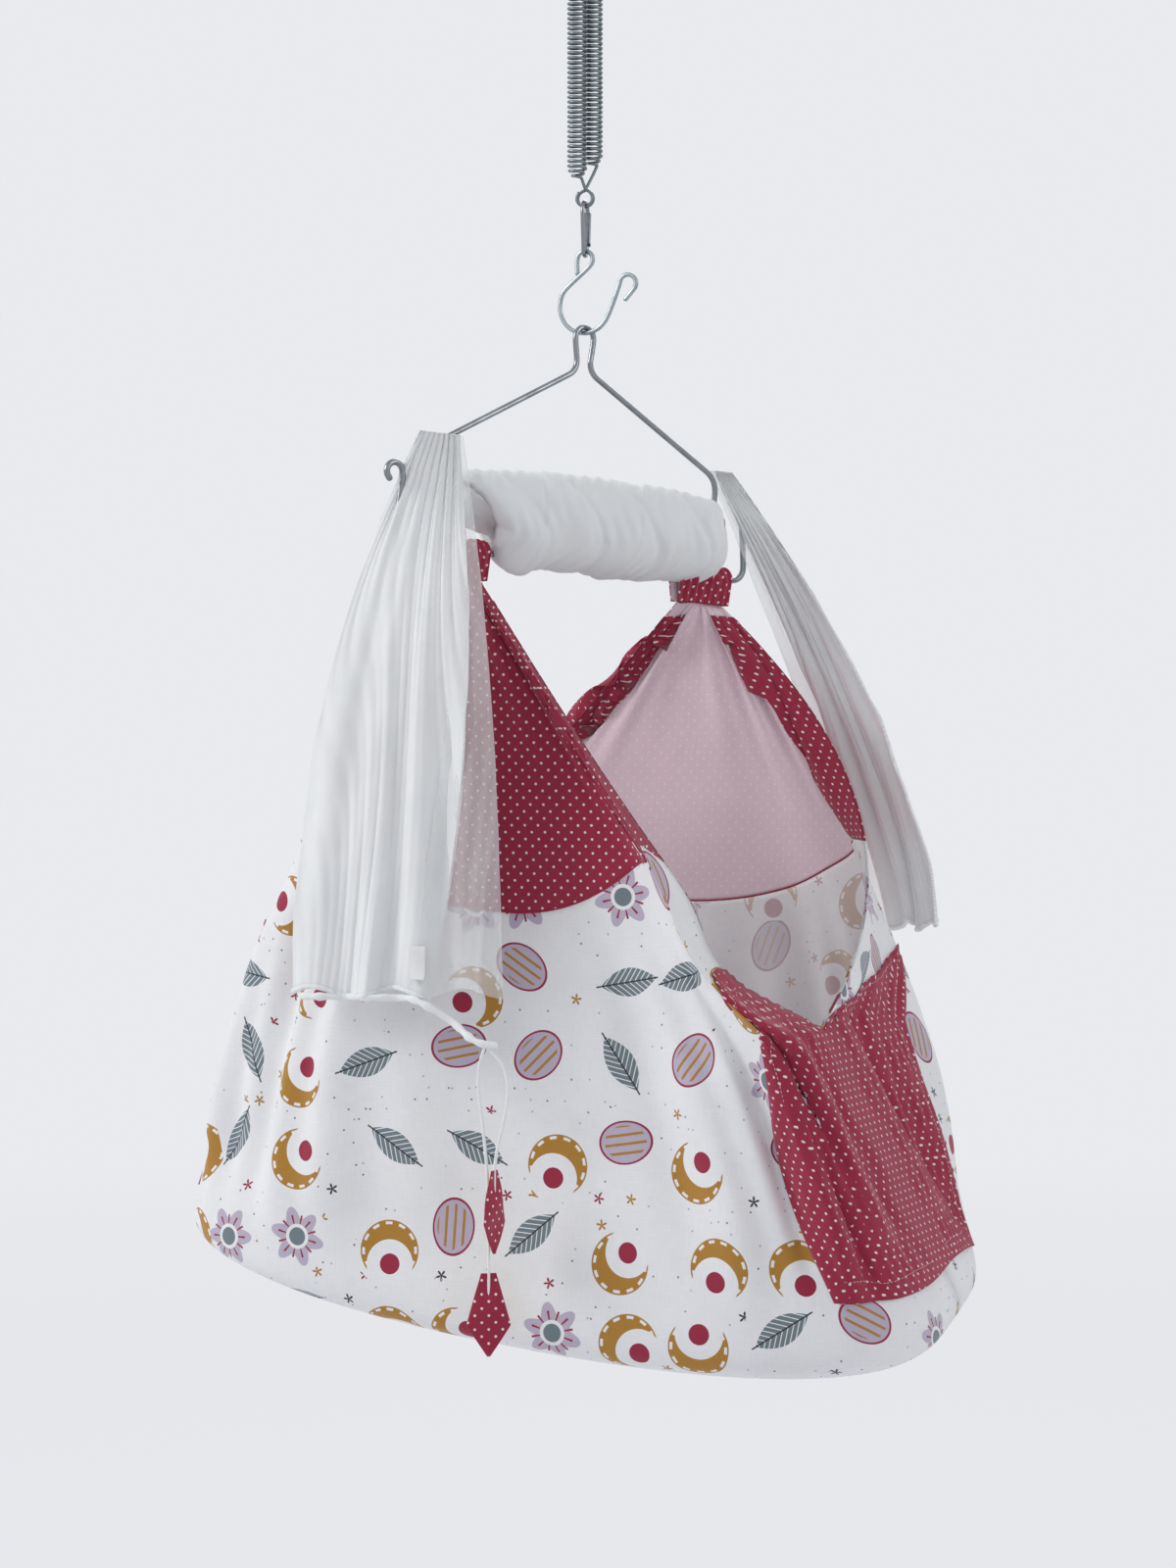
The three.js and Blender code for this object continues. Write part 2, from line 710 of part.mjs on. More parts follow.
// Adds the part of a fan between two heights. Its two end columns stand back by a distance.
function addFanRows(sheet, side, heights, standBack = 0) {
  const pointAt = (column, row) => {
    const point = fanPoint(side, column / fanColumns, heights[row]);
    if (standBack === 0 || (column > 0 && column < fanColumns)) return point;
    const next = fanPoint(side, (column === 0 ? 1 : column - 1) / fanColumns, heights[row]);
    return point.lerp(next, standBack / point.distanceTo(next));
  };
  const id = (column, row) => sheet.point(`${column} ${row}`, () => pointAt(column, row));
  for (let row = 0; row < heights.length - 1; row += 1)
    for (let column = 0; column < fanColumns; column += 1)
      sheet.patch(id(column, row), id(column, row + 1), id(column + 1, row + 1), id(column + 1, row));
}

const fanTall = slingFloorDrop - hangerDrop - rodDrop; // about, from the rim to the sleeve
const seamClearShare = seamGap / fanTall;
const endSeamHalf = 0.5; // from the middle of an end's seam to either panel

// The printed panel of one fan, from the floor's rim up to the yoke.
function sideSheet(side) {
  const sheet = new Sheet();
  const heights = [...lowRows, ...midRows.slice(1)];
  heights[0] = seamClearShare;
  addFanRows(sheet, side, heights, endSeamHalf);
  return sheet;
}

function buildSides() {
  for (const [name, side] of [["side_panel_near", 1], ["side_panel_far", -1]])
    addPiece(name, sideSheet(side).solid(clothThick / 2, -clothThick / 2), printedCotton());
}

// The floor, in rings that shrink from the rim to the middle.
function floorSheet() {
  const sheet = new Sheet();
  const insets = [0, edgeRound, slingWidth / 4];
  const columns = 2 * fanColumns;
  const id = (column, ring) => {
    if (ring === insets.length) return sheet.point("middle", () => at(0, 0, floorHeight(0, 0) - clothThick));
    const around = column % columns;
    return sheet.point(`${around} ${ring}`, () => {
      const side = around < fanColumns ? 1 : -1;
      const [x, y] = rimPlace(side, (around % fanColumns) / fanColumns, insets[ring]);
      return at(x, y, floorHeight(x, y) - (ring === 0 ? 0 : edgeRound / 2));
    });
  };
  for (let ring = 0; ring < insets.length; ring += 1)
    for (let column = 0; column < columns; column += 1)
      sheet.patch(id(column, ring + 1), id(column, ring), id(column + 1, ring), id(column + 1, ring + 1));
  return sheet;
}

function buildFloor() {
  addPiece("sling_floor", floorSheet().solid(clothThick / 2, -clothThick / 2), printedCotton());
}

function buildYokes() {
  for (const [name, side] of [["yoke_near", 1], ["yoke_far", -1]]) {
    const sheet = new Sheet();
    addFanRows(sheet, side, steps(seamHeight + seamClearShare, 1, 6));
    addPiece(name, sheet.solid(clothThick / 2, -clothThick / 2), crimson());
  }
}

// End patches: a cloth patch over each open end, whose top edge follows the notch
const patchThick = 1.2;
const patchFootLift = 78; // its lower edge, over the floor's rim
const patchFootNear = 150; // its lower corners, from the middle of the end
const patchFootFar = 150;
const patchHeadNear = 178; // its upper corners
const patchHeadFar = 62;
const patchHeadNearLift = 38; // its upper corners, over the notch
const patchHeadFarLift = 72;
const patchAlong = 185; // from the sling's middle to where it starts on the nearer fan

// The patch's outline as seen from the end, as a bar through that end. end is 1 on the right.
function patchBar(end) {
  const foot = floorHeight((end * slingLength) / 2, 0);
  const low = foot + notchLift;
  const outline = new THREE.Shape([
    new THREE.Vector2(-patchFootNear, foot + patchFootLift),
    new THREE.Vector2(patchFootFar, foot + patchFootLift),
    new THREE.Vector2(patchHeadFar, low + patchHeadFarLift),
    new THREE.Vector2(-patchHeadNear, low + patchHeadNearLift),
  ]);
  const bar = new THREE.ExtrudeGeometry(outline, { depth: slingLength, bevelEnabled: false });
  bar.translate(0, 0, patchAlong);
  bar.rotateX(Math.PI / 2);
  bar.rotateZ(end > 0 ? Math.PI / 2 : -Math.PI / 2);
  return bar;
}

function buildPatches() {
  const under = clothThick / 2 + seatGap;
  const sides = [1, -1].map((side) => solidOf(sideSheet(side).solid(under, -under)));
  const over = sides.reduce(
    (left, panel) => left.subtract(panel),
    solidOf(endlessSides().solid(under + patchThick, under)),
  );
  for (const [name, end] of [["end_patch_right", 1], ["end_patch_left", -1]])
    addPiece(name, geometryOf(largest(over.intersect(solidOf(patchBar(end))))), crimson());
}

// Both fans as one sheet that is whole round the two ends, for what lies over the seams there.
function endlessSides() {
  const sheet = new Sheet();
  const heights = [...lowRows, ...midRows.slice(1)];
  for (const side of [1, -1]) {
    const id = (column, row) => {
      const end = column === 0 ? side : -side;
      const joined = (column === 0 || column === fanColumns) && heights[row] <= notchHeight;
      const key = joined ? `end ${end} ${row}` : `fan ${side} ${column} ${row}`;
      return sheet.point(key, () => fanPoint(side, column / fanColumns, heights[row]));
    };
    for (let row = 0; row < heights.length - 1; row += 1)
      for (let column = 0; column < fanColumns; column += 1)
        sheet.patch(id(column, row), id(column, row + 1), id(column + 1, row + 1), id(column + 1, row));
  }
  return sheet;
}

// Mattress pad: a thin crowned cushion that lies on the sling's floor
const padThick = 24;
const padCrown = 6;
const padInset = 34; // from the floor's rim
const padColumns = 16; // on each half

function buildPad() {
  const lift = edgeRound / 2;
  const ring = (inset, over) => {
    const points = [];
    for (const side of [1, -1])
      for (let i = 0; i < padColumns; i += 1) {
        const [x, y] = rimPlace(side, i / padColumns, inset);
        points.push(at(x, y, floorHeight(x, y) - lift + clothThick + over));
      }
    return points.reverse();
  };
  const half = padThick / 2;
  const rings = [
    ring(padInset + slingWidth / 4, -half),
    ring(padInset + half, -half),
    ring(padInset, half),
    ring(padInset + half / 2, padThick - seatGap),
    ring(padInset + slingWidth / 4, padThick + padCrown),
  ];
  const under = clothThick / 2 + seatGap;
  const pad = solidOf(skinOfRings(rings)).subtract(solidOf(floorSheet().solid(under, -under)));
  addPiece("mattress_pad", geometryOf(largest(pad)), printedCotton());
}

// Net roll: the mosquito net, wound round the rod in one thick roll
const rollFrom = -100; // along the rod from its middle
const rollTo = 148;
const rollUp = 36; // from the rod up to the roll's middle
const rollHigh = 47; // half of its height
const rollDeep = 33; // half of its depth
const rollEndShare = 0.8; // its ends, of its middle
const rollSections = 9;
const rollColumns = 20;
const rollWrinkle = 1.6;

function rollSkin(grown) {
  const rings = [];
  for (let i = 0; i <= rollSections; i += 1) {
    const share = i / rollSections;
    const swell = lerp(rollEndShare, 1, Math.sin(Math.PI * share) ** 0.6);
    const wrinkle = rollWrinkle * Math.cos(i * Math.PI);
    const ring = [];
    for (let k = 0; k < rollColumns; k += 1) {
      const turn = (2 * Math.PI * k) / rollColumns;
      ring.push(
        at(
          lerp(rollFrom - grown, rollTo + grown, share),
          (rollDeep * swell + wrinkle + grown) * Math.cos(turn),
          -rodDrop + rollUp + (rollHigh * swell + wrinkle + grown) * Math.sin(turn),
        ),
      );
    }
    rings.push(ring);
  }
  return skinOfRings(rings);
}

function buildRoll(plane) {
  const roll = solidOf(rollSkin(0));
  const bore = solidOf(alongRod(roundSection(sleeveBore, 12), rollFrom - overrun, rollTo + overrun));
  const room = solidOf(alongRod(sleeveProfile(seatGap), sleeveFrom - seatGap, sleeveTo + overrun));
  addPiece("net_roll", geometryOf(roll.subtract(bore).subtract(room)), netting(), plane);
}

// Net drapes: the two ends of the net, which hang down outside the fans from the hanger's legs
const netThick = 5; // of its folded layers
const netClear = 0.8; // from the wires that the net lies round
const drapeTop = 118; // from the eye's top down to where it is gathered
const drapeOuter = 186; // along the rod from its middle
const drapeInner = 118;
const drapeFolds = 4;
const foldCrestShare = 0.625; // across the drape, the crest that the label is sewn on
const drapeFoldDepth = 6;
const drapeColumns = 16;
const drapeRows = 7;
const nearHem = { left: [-205, -222], right: [-5, -226], drop: 992 };
const farHem = { left: [312, 152], right: [160, 228], drop: 948 };

function drapePoint(side, hem, share, down) {
  const aside = -side * (hangerWire / 2 + seatGap + netThick / 2);
  const top = onSpreader(-side * lerp(drapeOuter, drapeInner, share), aside, drapeTop);
  const spread = 1 - (1 - down) ** 2.2;
  const x = lerp(top.x, lerp(hem.left[0], hem.right[0], share), spread);
  const y = lerp(top.y, lerp(hem.left[1], hem.right[1], share), spread);
  const across = at(hem.right[1] - hem.left[1], hem.left[0] - hem.right[0], 0).normalize();
  const fold = drapeFoldDepth * down * Math.cos(2 * Math.PI * drapeFolds * (share - foldCrestShare));
  return at(x, y, lerp(top.z, -hem.drop, down)).addScaledVector(across, fold);
}

function buildDrapes() {
  for (const [name, side, hem] of [["net_drape_near", 1, nearHem], ["net_drape_far", -1, farHem]]) {
    const sheet = new Sheet();
    const id = (column, row) =>
      sheet.point(`${column} ${row}`, () =>
        drapePoint(side, hem, column / drapeColumns, row / drapeRows));
    for (let row = 0; row < drapeRows; row += 1)
      for (let column = 0; column < drapeColumns; column += 1)
        sheet.patch(id(column, row), id(column, row + 1), id(column + 1, row + 1), id(column + 1, row));
    const drape = solidOf(sheet.solid(netThick / 2, -netThick / 2));
    const wire = solidOf(outOfSpreader(hangerTube(hangerWire + 2 * netClear)));
    const bar = solidOf(outOfSpreader(wireAlong(rodLine(), rodWire + 2 * netClear, 60, 8)));
    const roll = solidOf(outOfSpreader(rollSkin(netClear)));
    addPiece(name, geometryOf(drape.subtract(wire).subtract(bar).subtract(roll)), netting());
  }
}

// Hem: the net's drawn edge, a soft tube under the near drape that lets the cords out at its low end
const hemThick = 8;
const hemSteps = 22;
const hemDroop = 40; // of its free end under the drape
const hemBeyond = 6;

function hemPoint(share) {
  const under = drapePoint(1, nearHem, lerp(0.05, 0.95, share), 1);
  const droop = hemDroop * smooth((share - 0.55) / 0.45);
  const clear = hemThick / 2 + seatGap;
  return under.add(at(hemBeyond * share, -hemBeyond * smooth(share), -clear - droop));
}

function buildHem() {
  const line = smoothThrough(steps(0, 1, 14).map(hemPoint));
  addPiece("net_hem", wireAlong(line, hemThick, hemSteps, 8), netting());
}

// Drawcords: two thin cords that hang from the hem's low end, each with a folded cloth tab on its end
const cordThick = 3;
const cordExitShare = 0.97; // along the hem
const tabLong = 74;
const tabWide = 40;
const tabThick = 5;
const longCord = [
  [-2.9, -0.9, 0.3],
  [-7.3, -0.3, -14],
  [-8.5, 0.4, -34],
  [-5, 2.6, -70],
  [-1.2, 3.8, -115],
  [-0.3, 4.1, -158],
  [-0.3, 4.1, -197],
];
const shortCord = [
  [2.9, 0.9, -1.3],
  [12.7, 3.1, -13],
  [17.7, 3.7, -32],
  [14.9, 2.7, -60],
  [8.9, 1.8, -86],
  [5.7, 1.9, -106],
];

function cordLine(offsets) {
  const exit = hemPoint(cordExitShare).add(at(0, 0, -hemThick / 2));
  return offsets.map(([x, y, z]) => exit.clone().add(at(x, y, z)));
}

function kiteOutline() {
  const half = tabWide / 2;
  return new THREE.Shape([
    new THREE.Vector2(-half * 0.32, 0),
    new THREE.Vector2(-half, -tabLong * 0.62),
    new THREE.Vector2(0, -tabLong),
    new THREE.Vector2(half, -tabLong * 0.62),
    new THREE.Vector2(half * 0.32, 0),
  ]);
}

function buildCords() {
  for (const [cord, tab, offsets, turn] of [
    ["drawcord_long", "cord_tab_long", longCord, 24 * degree],
    ["drawcord_short", "cord_tab_short", shortCord, 80 * degree],
  ]) {
    const line = cordLine(offsets);
    addPiece(cord, wireAlong(smoothThrough(line), cordThick, 24, 8), cordCotton());
    const kite = new THREE.ExtrudeGeometry(kiteOutline(), { depth: tabThick, bevelEnabled: false });
    kite.translate(0, 0, -tabThick / 2);
    kite.rotateX(Math.PI / 2);
    const piece = addPiece(tab, kite, crimson());
    piece.rotation.z = turn;
    const end = line[line.length - 1];
    piece.position.set(end.x, end.y, end.z - seatGap);
  }
}

// Care label: a small blank tape on the outside of the near drape
const labelWide = 14;
const labelTall = 30;
const labelThick = 0.8;

function buildLabel() {
  const down = 1 - (labelTall * 0.9) / (nearHem.drop - drapeTop - hangerDrop);
  const middle = drapePoint(1, nearHem, foldCrestShare, down);
  const label = new THREE.BoxGeometry(labelWide, labelThick, labelTall);
  const piece = addPiece("care_label", label, printedCotton());
  piece.position.copy(middle).add(at(0, -(netThick + labelThick) / 2 - seatGap, 0));
}

buildUpperRing();
buildSprings();
buildSnapHook();
buildOpenHook();
const spreader = spreaderPlane();
buildHanger(spreader);
buildRod(spreader);
buildSleeves(spreader);
buildFloor();
buildSides();
buildYokes();
buildPatches();
buildPad();
buildRoll(spreader);
buildDrapes();
buildHem();
buildCords();
buildLabel();

export default root;
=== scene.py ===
"""Hanging baby cradle: a cloth sling on a spreader rod, two springs, hooks and a net, in metres."""

import bmesh
import bpy
import numpy as np
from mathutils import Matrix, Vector


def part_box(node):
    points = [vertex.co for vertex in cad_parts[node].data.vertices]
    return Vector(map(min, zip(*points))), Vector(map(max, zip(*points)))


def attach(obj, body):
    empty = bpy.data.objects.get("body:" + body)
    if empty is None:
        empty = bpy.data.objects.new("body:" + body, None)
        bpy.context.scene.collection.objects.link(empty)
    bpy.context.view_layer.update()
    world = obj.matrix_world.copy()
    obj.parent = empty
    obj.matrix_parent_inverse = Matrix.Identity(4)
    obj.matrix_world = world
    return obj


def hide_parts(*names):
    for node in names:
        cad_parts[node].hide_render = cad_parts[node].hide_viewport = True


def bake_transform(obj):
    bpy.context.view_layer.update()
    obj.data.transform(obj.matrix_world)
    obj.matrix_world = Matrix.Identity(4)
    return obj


bl_info = {
    "name": "Hanging baby cradle",
    "version": (1, 0, 0),
    "blender": (4, 5, 0),
    "location": "3D View > Sidebar > Cradle",
    "description": "Builds the cloth, wires and net of a hanging baby cradle",
    "category": "Add Mesh",
}

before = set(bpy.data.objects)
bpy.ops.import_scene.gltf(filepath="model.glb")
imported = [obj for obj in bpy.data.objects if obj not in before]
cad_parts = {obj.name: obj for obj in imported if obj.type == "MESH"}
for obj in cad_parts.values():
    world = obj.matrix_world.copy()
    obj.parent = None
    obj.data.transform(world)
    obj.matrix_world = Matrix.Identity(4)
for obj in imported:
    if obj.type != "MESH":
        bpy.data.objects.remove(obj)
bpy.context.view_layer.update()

mm = 0.001
degree = np.pi / 180
thread_gap = 0.3 * mm

# Driving sizes of the model
sling_length = 730 * mm
sling_width = 390 * mm
sling_floor_drop = 1238 * mm
cloth_thick = 2.4 * mm
spreader_length = 380 * mm
loop_turn = 3 * degree
snap_turn = 93 * degree
hook_turn = -7 * degree
spreader_turn = 55 * degree
spreader_tilt = 3 * degree

ring_wire = 5 * mm
ring_bore = 26 * mm
ring_middle = (ring_bore + ring_wire) / 2

spring_wire = 3 * mm
spring_mean = 16 * mm
spring_turns = 38
spring_pitch = 4.6 * mm
spring_loop = 15 * mm
spring_apart = 20.5 * mm
spring_apart_turn = 62 * degree
loops_apart = 4.6 * mm
taper_turns = 2
taper_share = 0.5
long_shank = 32 * mm
short_shank = 18 * mm

snap_wire = 4 * mm
snap_top = 9 * mm
snap_foot = 5.5 * mm
snap_long = 36 * mm
snap_nose = 105 * degree
rivet_thick = 1.8 * mm

hook_wire = 4.5 * mm
hook_curl = 8 * mm
hook_bowl = 26 * mm
hook_tip = 8.5 * mm
hook_tall = 77 * mm
hook_tip_rise = 44 * mm
hook_tip_aside = 44 * mm

hanger_wire = 5.5 * mm
eye_radius = 10.5 * mm
eye_tall = 41 * mm
neck_apart = 13 * mm
arm_reach = 165 * mm
arm_fall = 86 * mm
arm_bend = 14 * mm
rod_wire = 6 * mm
rod_drop = 222 * mm
hook_bend = 13 * mm
hook_shank = 52 * mm
hook_lean = 4 * mm
end_curl = 8.5 * mm

sleeve_from = 104 * mm
sleeve_to = 154 * mm
far_sleeve_from = 120 * mm
far_sleeve_to = 182 * mm
sleeve_tail = 26 * mm
sleeve_radius = 11 * mm
sleeve_thick = 1.6 * mm
sleeve_gathers = 7
sleeve_gather_depth = 1.1 * mm
sleeve_wave = 0.5 * mm
sleeve_end_pinch = 1.2 * mm
tail_half_wide = 5 * mm
tail_wave = 0.9 * mm

# The sling's floor and its two fans
floor_rise_left = 96 * mm
floor_rise_far = 73 * mm
floor_sag = 30 * mm
corner_share = 0.5
edge_round = 22 * mm
notch_height_share = 0.36
notch_along = 255 * mm
notch_aside = 110 * mm
notch_lift = 262 * mm
inner_edge = (205 * mm, 205 * mm, 290 * mm)
outer_edge = (300 * mm, 175 * mm, 326 * mm)
far_outer_edge = (315 * mm, 150 * mm, 440 * mm)
# The seam between panel and yoke, by side: its height in the middle, and its rise to each open edge
seam_middle_shares = {1: 0.56, -1: 0.525}
seam_rise_shares = {1: (0.17, 0.055), -1: (0.04, 0.12)}
pleats = 5
pleat_depth = 9 * mm
edge_reach_shares = (0.45, 0.24)
fullness = 1.7


def lerp(a, b, share):
    """A straight blend from a to b."""
    return a + (b - a) * share


def signed_power(value, power):
    """A power of a value's size that keeps its sign."""
    return np.sign(value) * np.abs(value) ** power


def around(steps):
    """Angles once round, evenly apart."""
    return 2 * np.pi * np.arange(steps) / steps


def smooth(share):
    """An S-shaped blend that is held to 0 and 1 outside its range."""
    held = np.clip(share, 0, 1)
    return held * held * (3 - 2 * held)


def arc_fall(radius, aside):
    """How far an arc falls away from its top at a distance to one side."""
    return radius - np.sqrt(radius * radius - aside * aside)


# Heights down the axis, each worked out from the piece above it
ring_bottom_drop = ring_bore + ring_wire / 2
spring_head = (
    ring_bottom_drop
    - (ring_wire + spring_wire) / 2
    - thread_gap
    - arc_fall(ring_middle, loops_apart / 2)
    + spring_loop / 2
)
spring_foot = spring_head + long_shank + spring_turns * spring_pitch + short_shank
snap_drop = (
    spring_foot
    + spring_loop / 2
    - (snap_wire + spring_wire) / 2
    - thread_gap
    - arc_fall(snap_top, loops_apart / 2)
)
hook_drop = snap_drop + snap_foot + snap_long + snap_top - (snap_wire + hook_wire) / 2 - thread_gap
hanger_drop = hook_drop + hook_tall - (hook_wire + hanger_wire) / 2 - thread_gap


def stack(x, y, z):
    """Three arrays of one shape as one array of points."""
    return np.stack(np.broadcast_arrays(x, y, z), axis=-1).astype(float)


def turned(points, turn):
    """Points turned about the plumb line."""
    x, y, z = np.moveaxis(points, -1, 0)
    return stack(x * np.cos(turn) - y * np.sin(turn), x * np.sin(turn) + y * np.cos(turn), z)


def in_plane(points, turn, drop):
    """Points of a flat wire piece, turned about the plumb line and moved down."""
    return turned(points, turn) - np.array([0, 0, drop])


def on_spreader(along, aside, down):
    """A place on the spreader: along the rod from its middle, aside from it, and down from the eye's top."""
    c, s = np.cos(spreader_tilt), np.sin(spreader_tilt)
    tilted = stack(along * c - down * s, aside, -along * s - down * c)
    return in_plane(tilted, spreader_turn, hanger_drop)


def unit(vectors):
    """Vectors made one long."""
    length = np.linalg.norm(vectors, axis=-1, keepdims=True)
    return vectors / np.maximum(length, 1e-12)


# Meshes from grids and from profiles carried along paths


def put_mesh(name, points, faces, uv=None):
    """A mesh object from points, faces of four corners, and a place on the cloth for each point."""
    mesh = bpy.data.meshes.new(name)
    faces = np.asarray(faces, dtype=np.int32)
    mesh.from_pydata(np.asarray(points, float).tolist(), [], faces.tolist())
    if uv is not None:
        corners = np.empty(len(mesh.loops), dtype=np.int32)
        mesh.loops.foreach_get("vertex_index", corners)
        layer = mesh.uv_layers.new(name="cloth")
        layer.data.foreach_set("uv", np.asarray(uv, np.float32)[corners].ravel())
    mesh.polygons.foreach_set("use_smooth", np.ones(len(mesh.polygons), dtype=bool))
    mesh.update()
    piece = bpy.data.objects.new(name, mesh)
    bpy.context.scene.collection.objects.link(piece)
    return piece


def grid_faces(rows, columns, wrap=False):
    """Four-cornered faces of a grid, where wrap joins its last column to its first."""
    index = np.arange(rows * columns).reshape(rows, columns)
    if wrap:
        index = np.concatenate([index, index[:, :1]], axis=1)
    corners = [index[:-1, :-1], index[:-1, 1:], index[1:, 1:], index[1:, :-1]]
    return np.stack(corners, axis=-1).reshape(-1, 4)


def grid_piece(name, points, uv=None, wrap=False, flip=False):
    """A sheet whose points are an array of rows and columns."""
    rows, columns = points.shape[:2]
    faces = grid_faces(rows, columns, wrap)
    if flip:
        faces = faces[:, ::-1]
    flat_uv = None if uv is None else uv.reshape(-1, 2)
    return put_mesh(name, points.reshape(-1, 3), faces, flat_uv)


def lengths_along(points, axis):
    """Arc length from the first point along one axis of a grid."""
    moved = np.moveaxis(points, axis, 0)
    step = np.linalg.norm(np.diff(moved, axis=0), axis=-1)
    total = np.concatenate([np.zeros_like(step[:1]), np.cumsum(step, axis=0)])
    return np.moveaxis(total, 0, axis)


def cloth_uv(points):
    """Real distances on a sheet: across from the middle of each row, and up from the first row."""
    across = lengths_along(points, 1)
    across = across - across[:, points.shape[1] // 2][:, None]
    up = lengths_along(points, 0)
    up = np.broadcast_to(up.mean(axis=1, keepdims=True), across.shape)
    return np.stack([across, up], axis=-1)


def path_frames(line):
    """Two directions square to a path at each of its points, which turn with it as little as they can."""
    ahead = unit(np.gradient(line, axis=0))
    first = np.array([0.0, 0.0, 1.0]) if abs(ahead[0, 2]) < 0.9 else np.array([1.0, 0.0, 0.0])
    sides = np.empty_like(line)
    side = first
    for station, direction in enumerate(ahead):
        side = side - direction * np.dot(side, direction)
        side = side / np.linalg.norm(side)
        sides[station] = side
    return sides, np.cross(ahead, sides)


def tube_grid(line, radius, sides):
    """A round profile carried along a path: a ring of points for each station."""
    side, other = path_frames(line)
    angle = around(sides)
    reach = np.broadcast_to(np.asarray(radius, float), len(line))[:, None, None]
    ring = side[:, None] * np.cos(angle)[:, None] + other[:, None] * np.sin(angle)[:, None]
    return line[:, None] + reach * ring


def tube_piece(name, line, radius, sides=12):
    """A closed tube along a path, with rounded ends of three shrinking rings."""
    ahead = unit(np.gradient(line, axis=0))
    reach = np.broadcast_to(np.asarray(radius, float), len(line))
    cap_shares = np.array([0.0, 0.3, 0.75])
    head = line[0] - ahead[0] * (reach[0] * (1 - cap_shares))[:, None]
    tail = line[-1] + ahead[-1] * (reach[-1] * (1 - cap_shares[::-1]))[:, None]
    rise = np.sqrt(np.clip(1 - (1 - cap_shares) ** 2, 0.0004, 1))
    full = np.concatenate([head, line, tail])
    widths = np.concatenate([reach[0] * rise, reach, reach[-1] * rise[::-1]])
    points = tube_grid(full, widths, sides)
    along = lengths_along(full, 0)
    across = reach.mean() * around(sides)
    uv = np.stack(np.broadcast_arrays(across[None, :], along[:, None]), axis=-1)
    piece = grid_piece(name, points, uv, wrap=True)
    return close_ends(piece, len(full), sides)


def close_ends(piece, rings, sides):
    """Fills the first and the last ring of a tube with one face each."""
    mesh = piece.data
    points = np.empty(len(mesh.vertices) * 3)
    mesh.vertices.foreach_get("co", points)
    first = list(range(sides))[::-1]
    last = list(range((rings - 1) * sides, rings * sides))
    faces = [list(face.vertices) for face in mesh.polygons] + [first, last]
    corner_uv = np.empty(len(mesh.loops) * 2, np.float32)
    mesh.uv_layers[0].data.foreach_get("uv", corner_uv)
    name = piece.name
    fresh = bpy.data.meshes.new(name)
    fresh.from_pydata(points.reshape(-1, 3).tolist(), [], faces)
    layer = fresh.uv_layers.new(name="cloth")
    layer.data.foreach_set("uv", np.concatenate([corner_uv, np.zeros(4 * sides, np.float32)]))
    fresh.polygons.foreach_set("use_smooth", np.ones(len(fresh.polygons), dtype=bool))
    fresh.update()
    piece.data = fresh
    bpy.data.meshes.remove(mesh)
    return piece


def through(points, steps):
    """A smooth curve through a few points: centripetal pieces with a matching slope at each of them."""
    points = np.asarray(points, float)
    ends = np.concatenate([[2 * points[0] - points[1]], points, [2 * points[-1] - points[-2]]])
    knots = np.concatenate([[0], np.cumsum(np.linalg.norm(np.diff(ends, axis=0), axis=1) ** 0.5)])
    t = np.linspace(knots[1], knots[-2], steps)
    at = np.clip(np.searchsorted(knots, t, side="right") - 1, 1, len(points) - 1)
    t0, t1, t2, t3 = (knots[at + k][:, None] for k in (-1, 0, 1, 2))
    p0, p1, p2, p3 = (ends[at + k] for k in (-1, 0, 1, 2))
    t = t[:, None]
    a1 = (t1 - t) / (t1 - t0) * p0 + (t - t0) / (t1 - t0) * p1
    a2 = (t2 - t) / (t2 - t1) * p1 + (t - t1) / (t2 - t1) * p2
    a3 = (t3 - t) / (t3 - t2) * p2 + (t - t2) / (t3 - t2) * p3
    b1 = (t2 - t) / (t2 - t0) * a1 + (t - t0) / (t2 - t0) * a2
    b2 = (t3 - t) / (t3 - t1) * a2 + (t - t1) / (t3 - t1) * a3
    return (t2 - t) / (t2 - t1) * b1 + (t - t1) / (t2 - t1) * b2


def bent(corners, bend, steps_each=10):
    """Straight runs joined by round bends of one reach at the corners."""
    corners = np.asarray(corners, float)
    line = [corners[:1]]
    share = np.linspace(0, 1, steps_each)[:, None]
    for corner, before, after in zip(corners[1:-1], corners[:-2], corners[2:]):
        to_before, to_after = before - corner, after - corner
        reach = min(bend, np.linalg.norm(to_before) / 2.2, np.linalg.norm(to_after) / 2.2)
        start = corner + unit(to_before) * reach
        end = corner + unit(to_after) * reach
        line.append((1 - share) ** 2 * start + 2 * share * (1 - share) * corner + share**2 * end)
    line.append(corners[-1:])
    return np.concatenate(line)


def evenly(line, step):
    """The same path with its points one even step apart."""
    along = lengths_along(line, 0)
    keep = np.concatenate([[True], np.diff(along) > 1e-9])
    line, along = line[keep], along[keep]
    wanted = np.linspace(0, along[-1], max(3, int(along[-1] / step) + 1))
    return np.stack([np.interp(wanted, along, line[:, k]) for k in range(3)], axis=-1)


def arc(x, z, radius, start, end, steps):
    """Points on an arc in an upright plane, from one angle to another."""
    angle = np.linspace(start, end, steps + 1)
    return stack(x + radius * np.cos(angle), 0, z + radius * np.sin(angle))


def add_modifier(piece, kind, name, **settings):
    """A modifier with its settings."""
    modifier = piece.modifiers.new(name, kind)
    for key, value in settings.items():
        setattr(modifier, key, value)
    return modifier


def finish_piece(piece, body, slot, *nodes, materials=()):
    """Gives a piece its materials and its CAD body, and hides the CAD nodes that it stands for. Its slot is
    not used.
    """
    for material in materials:
        piece.data.materials.append(material)
    if nodes:
        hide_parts(*nodes)
    if body:
        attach(piece, body)
    return piece


# Wires: each is a round profile carried along the bent path of the real one


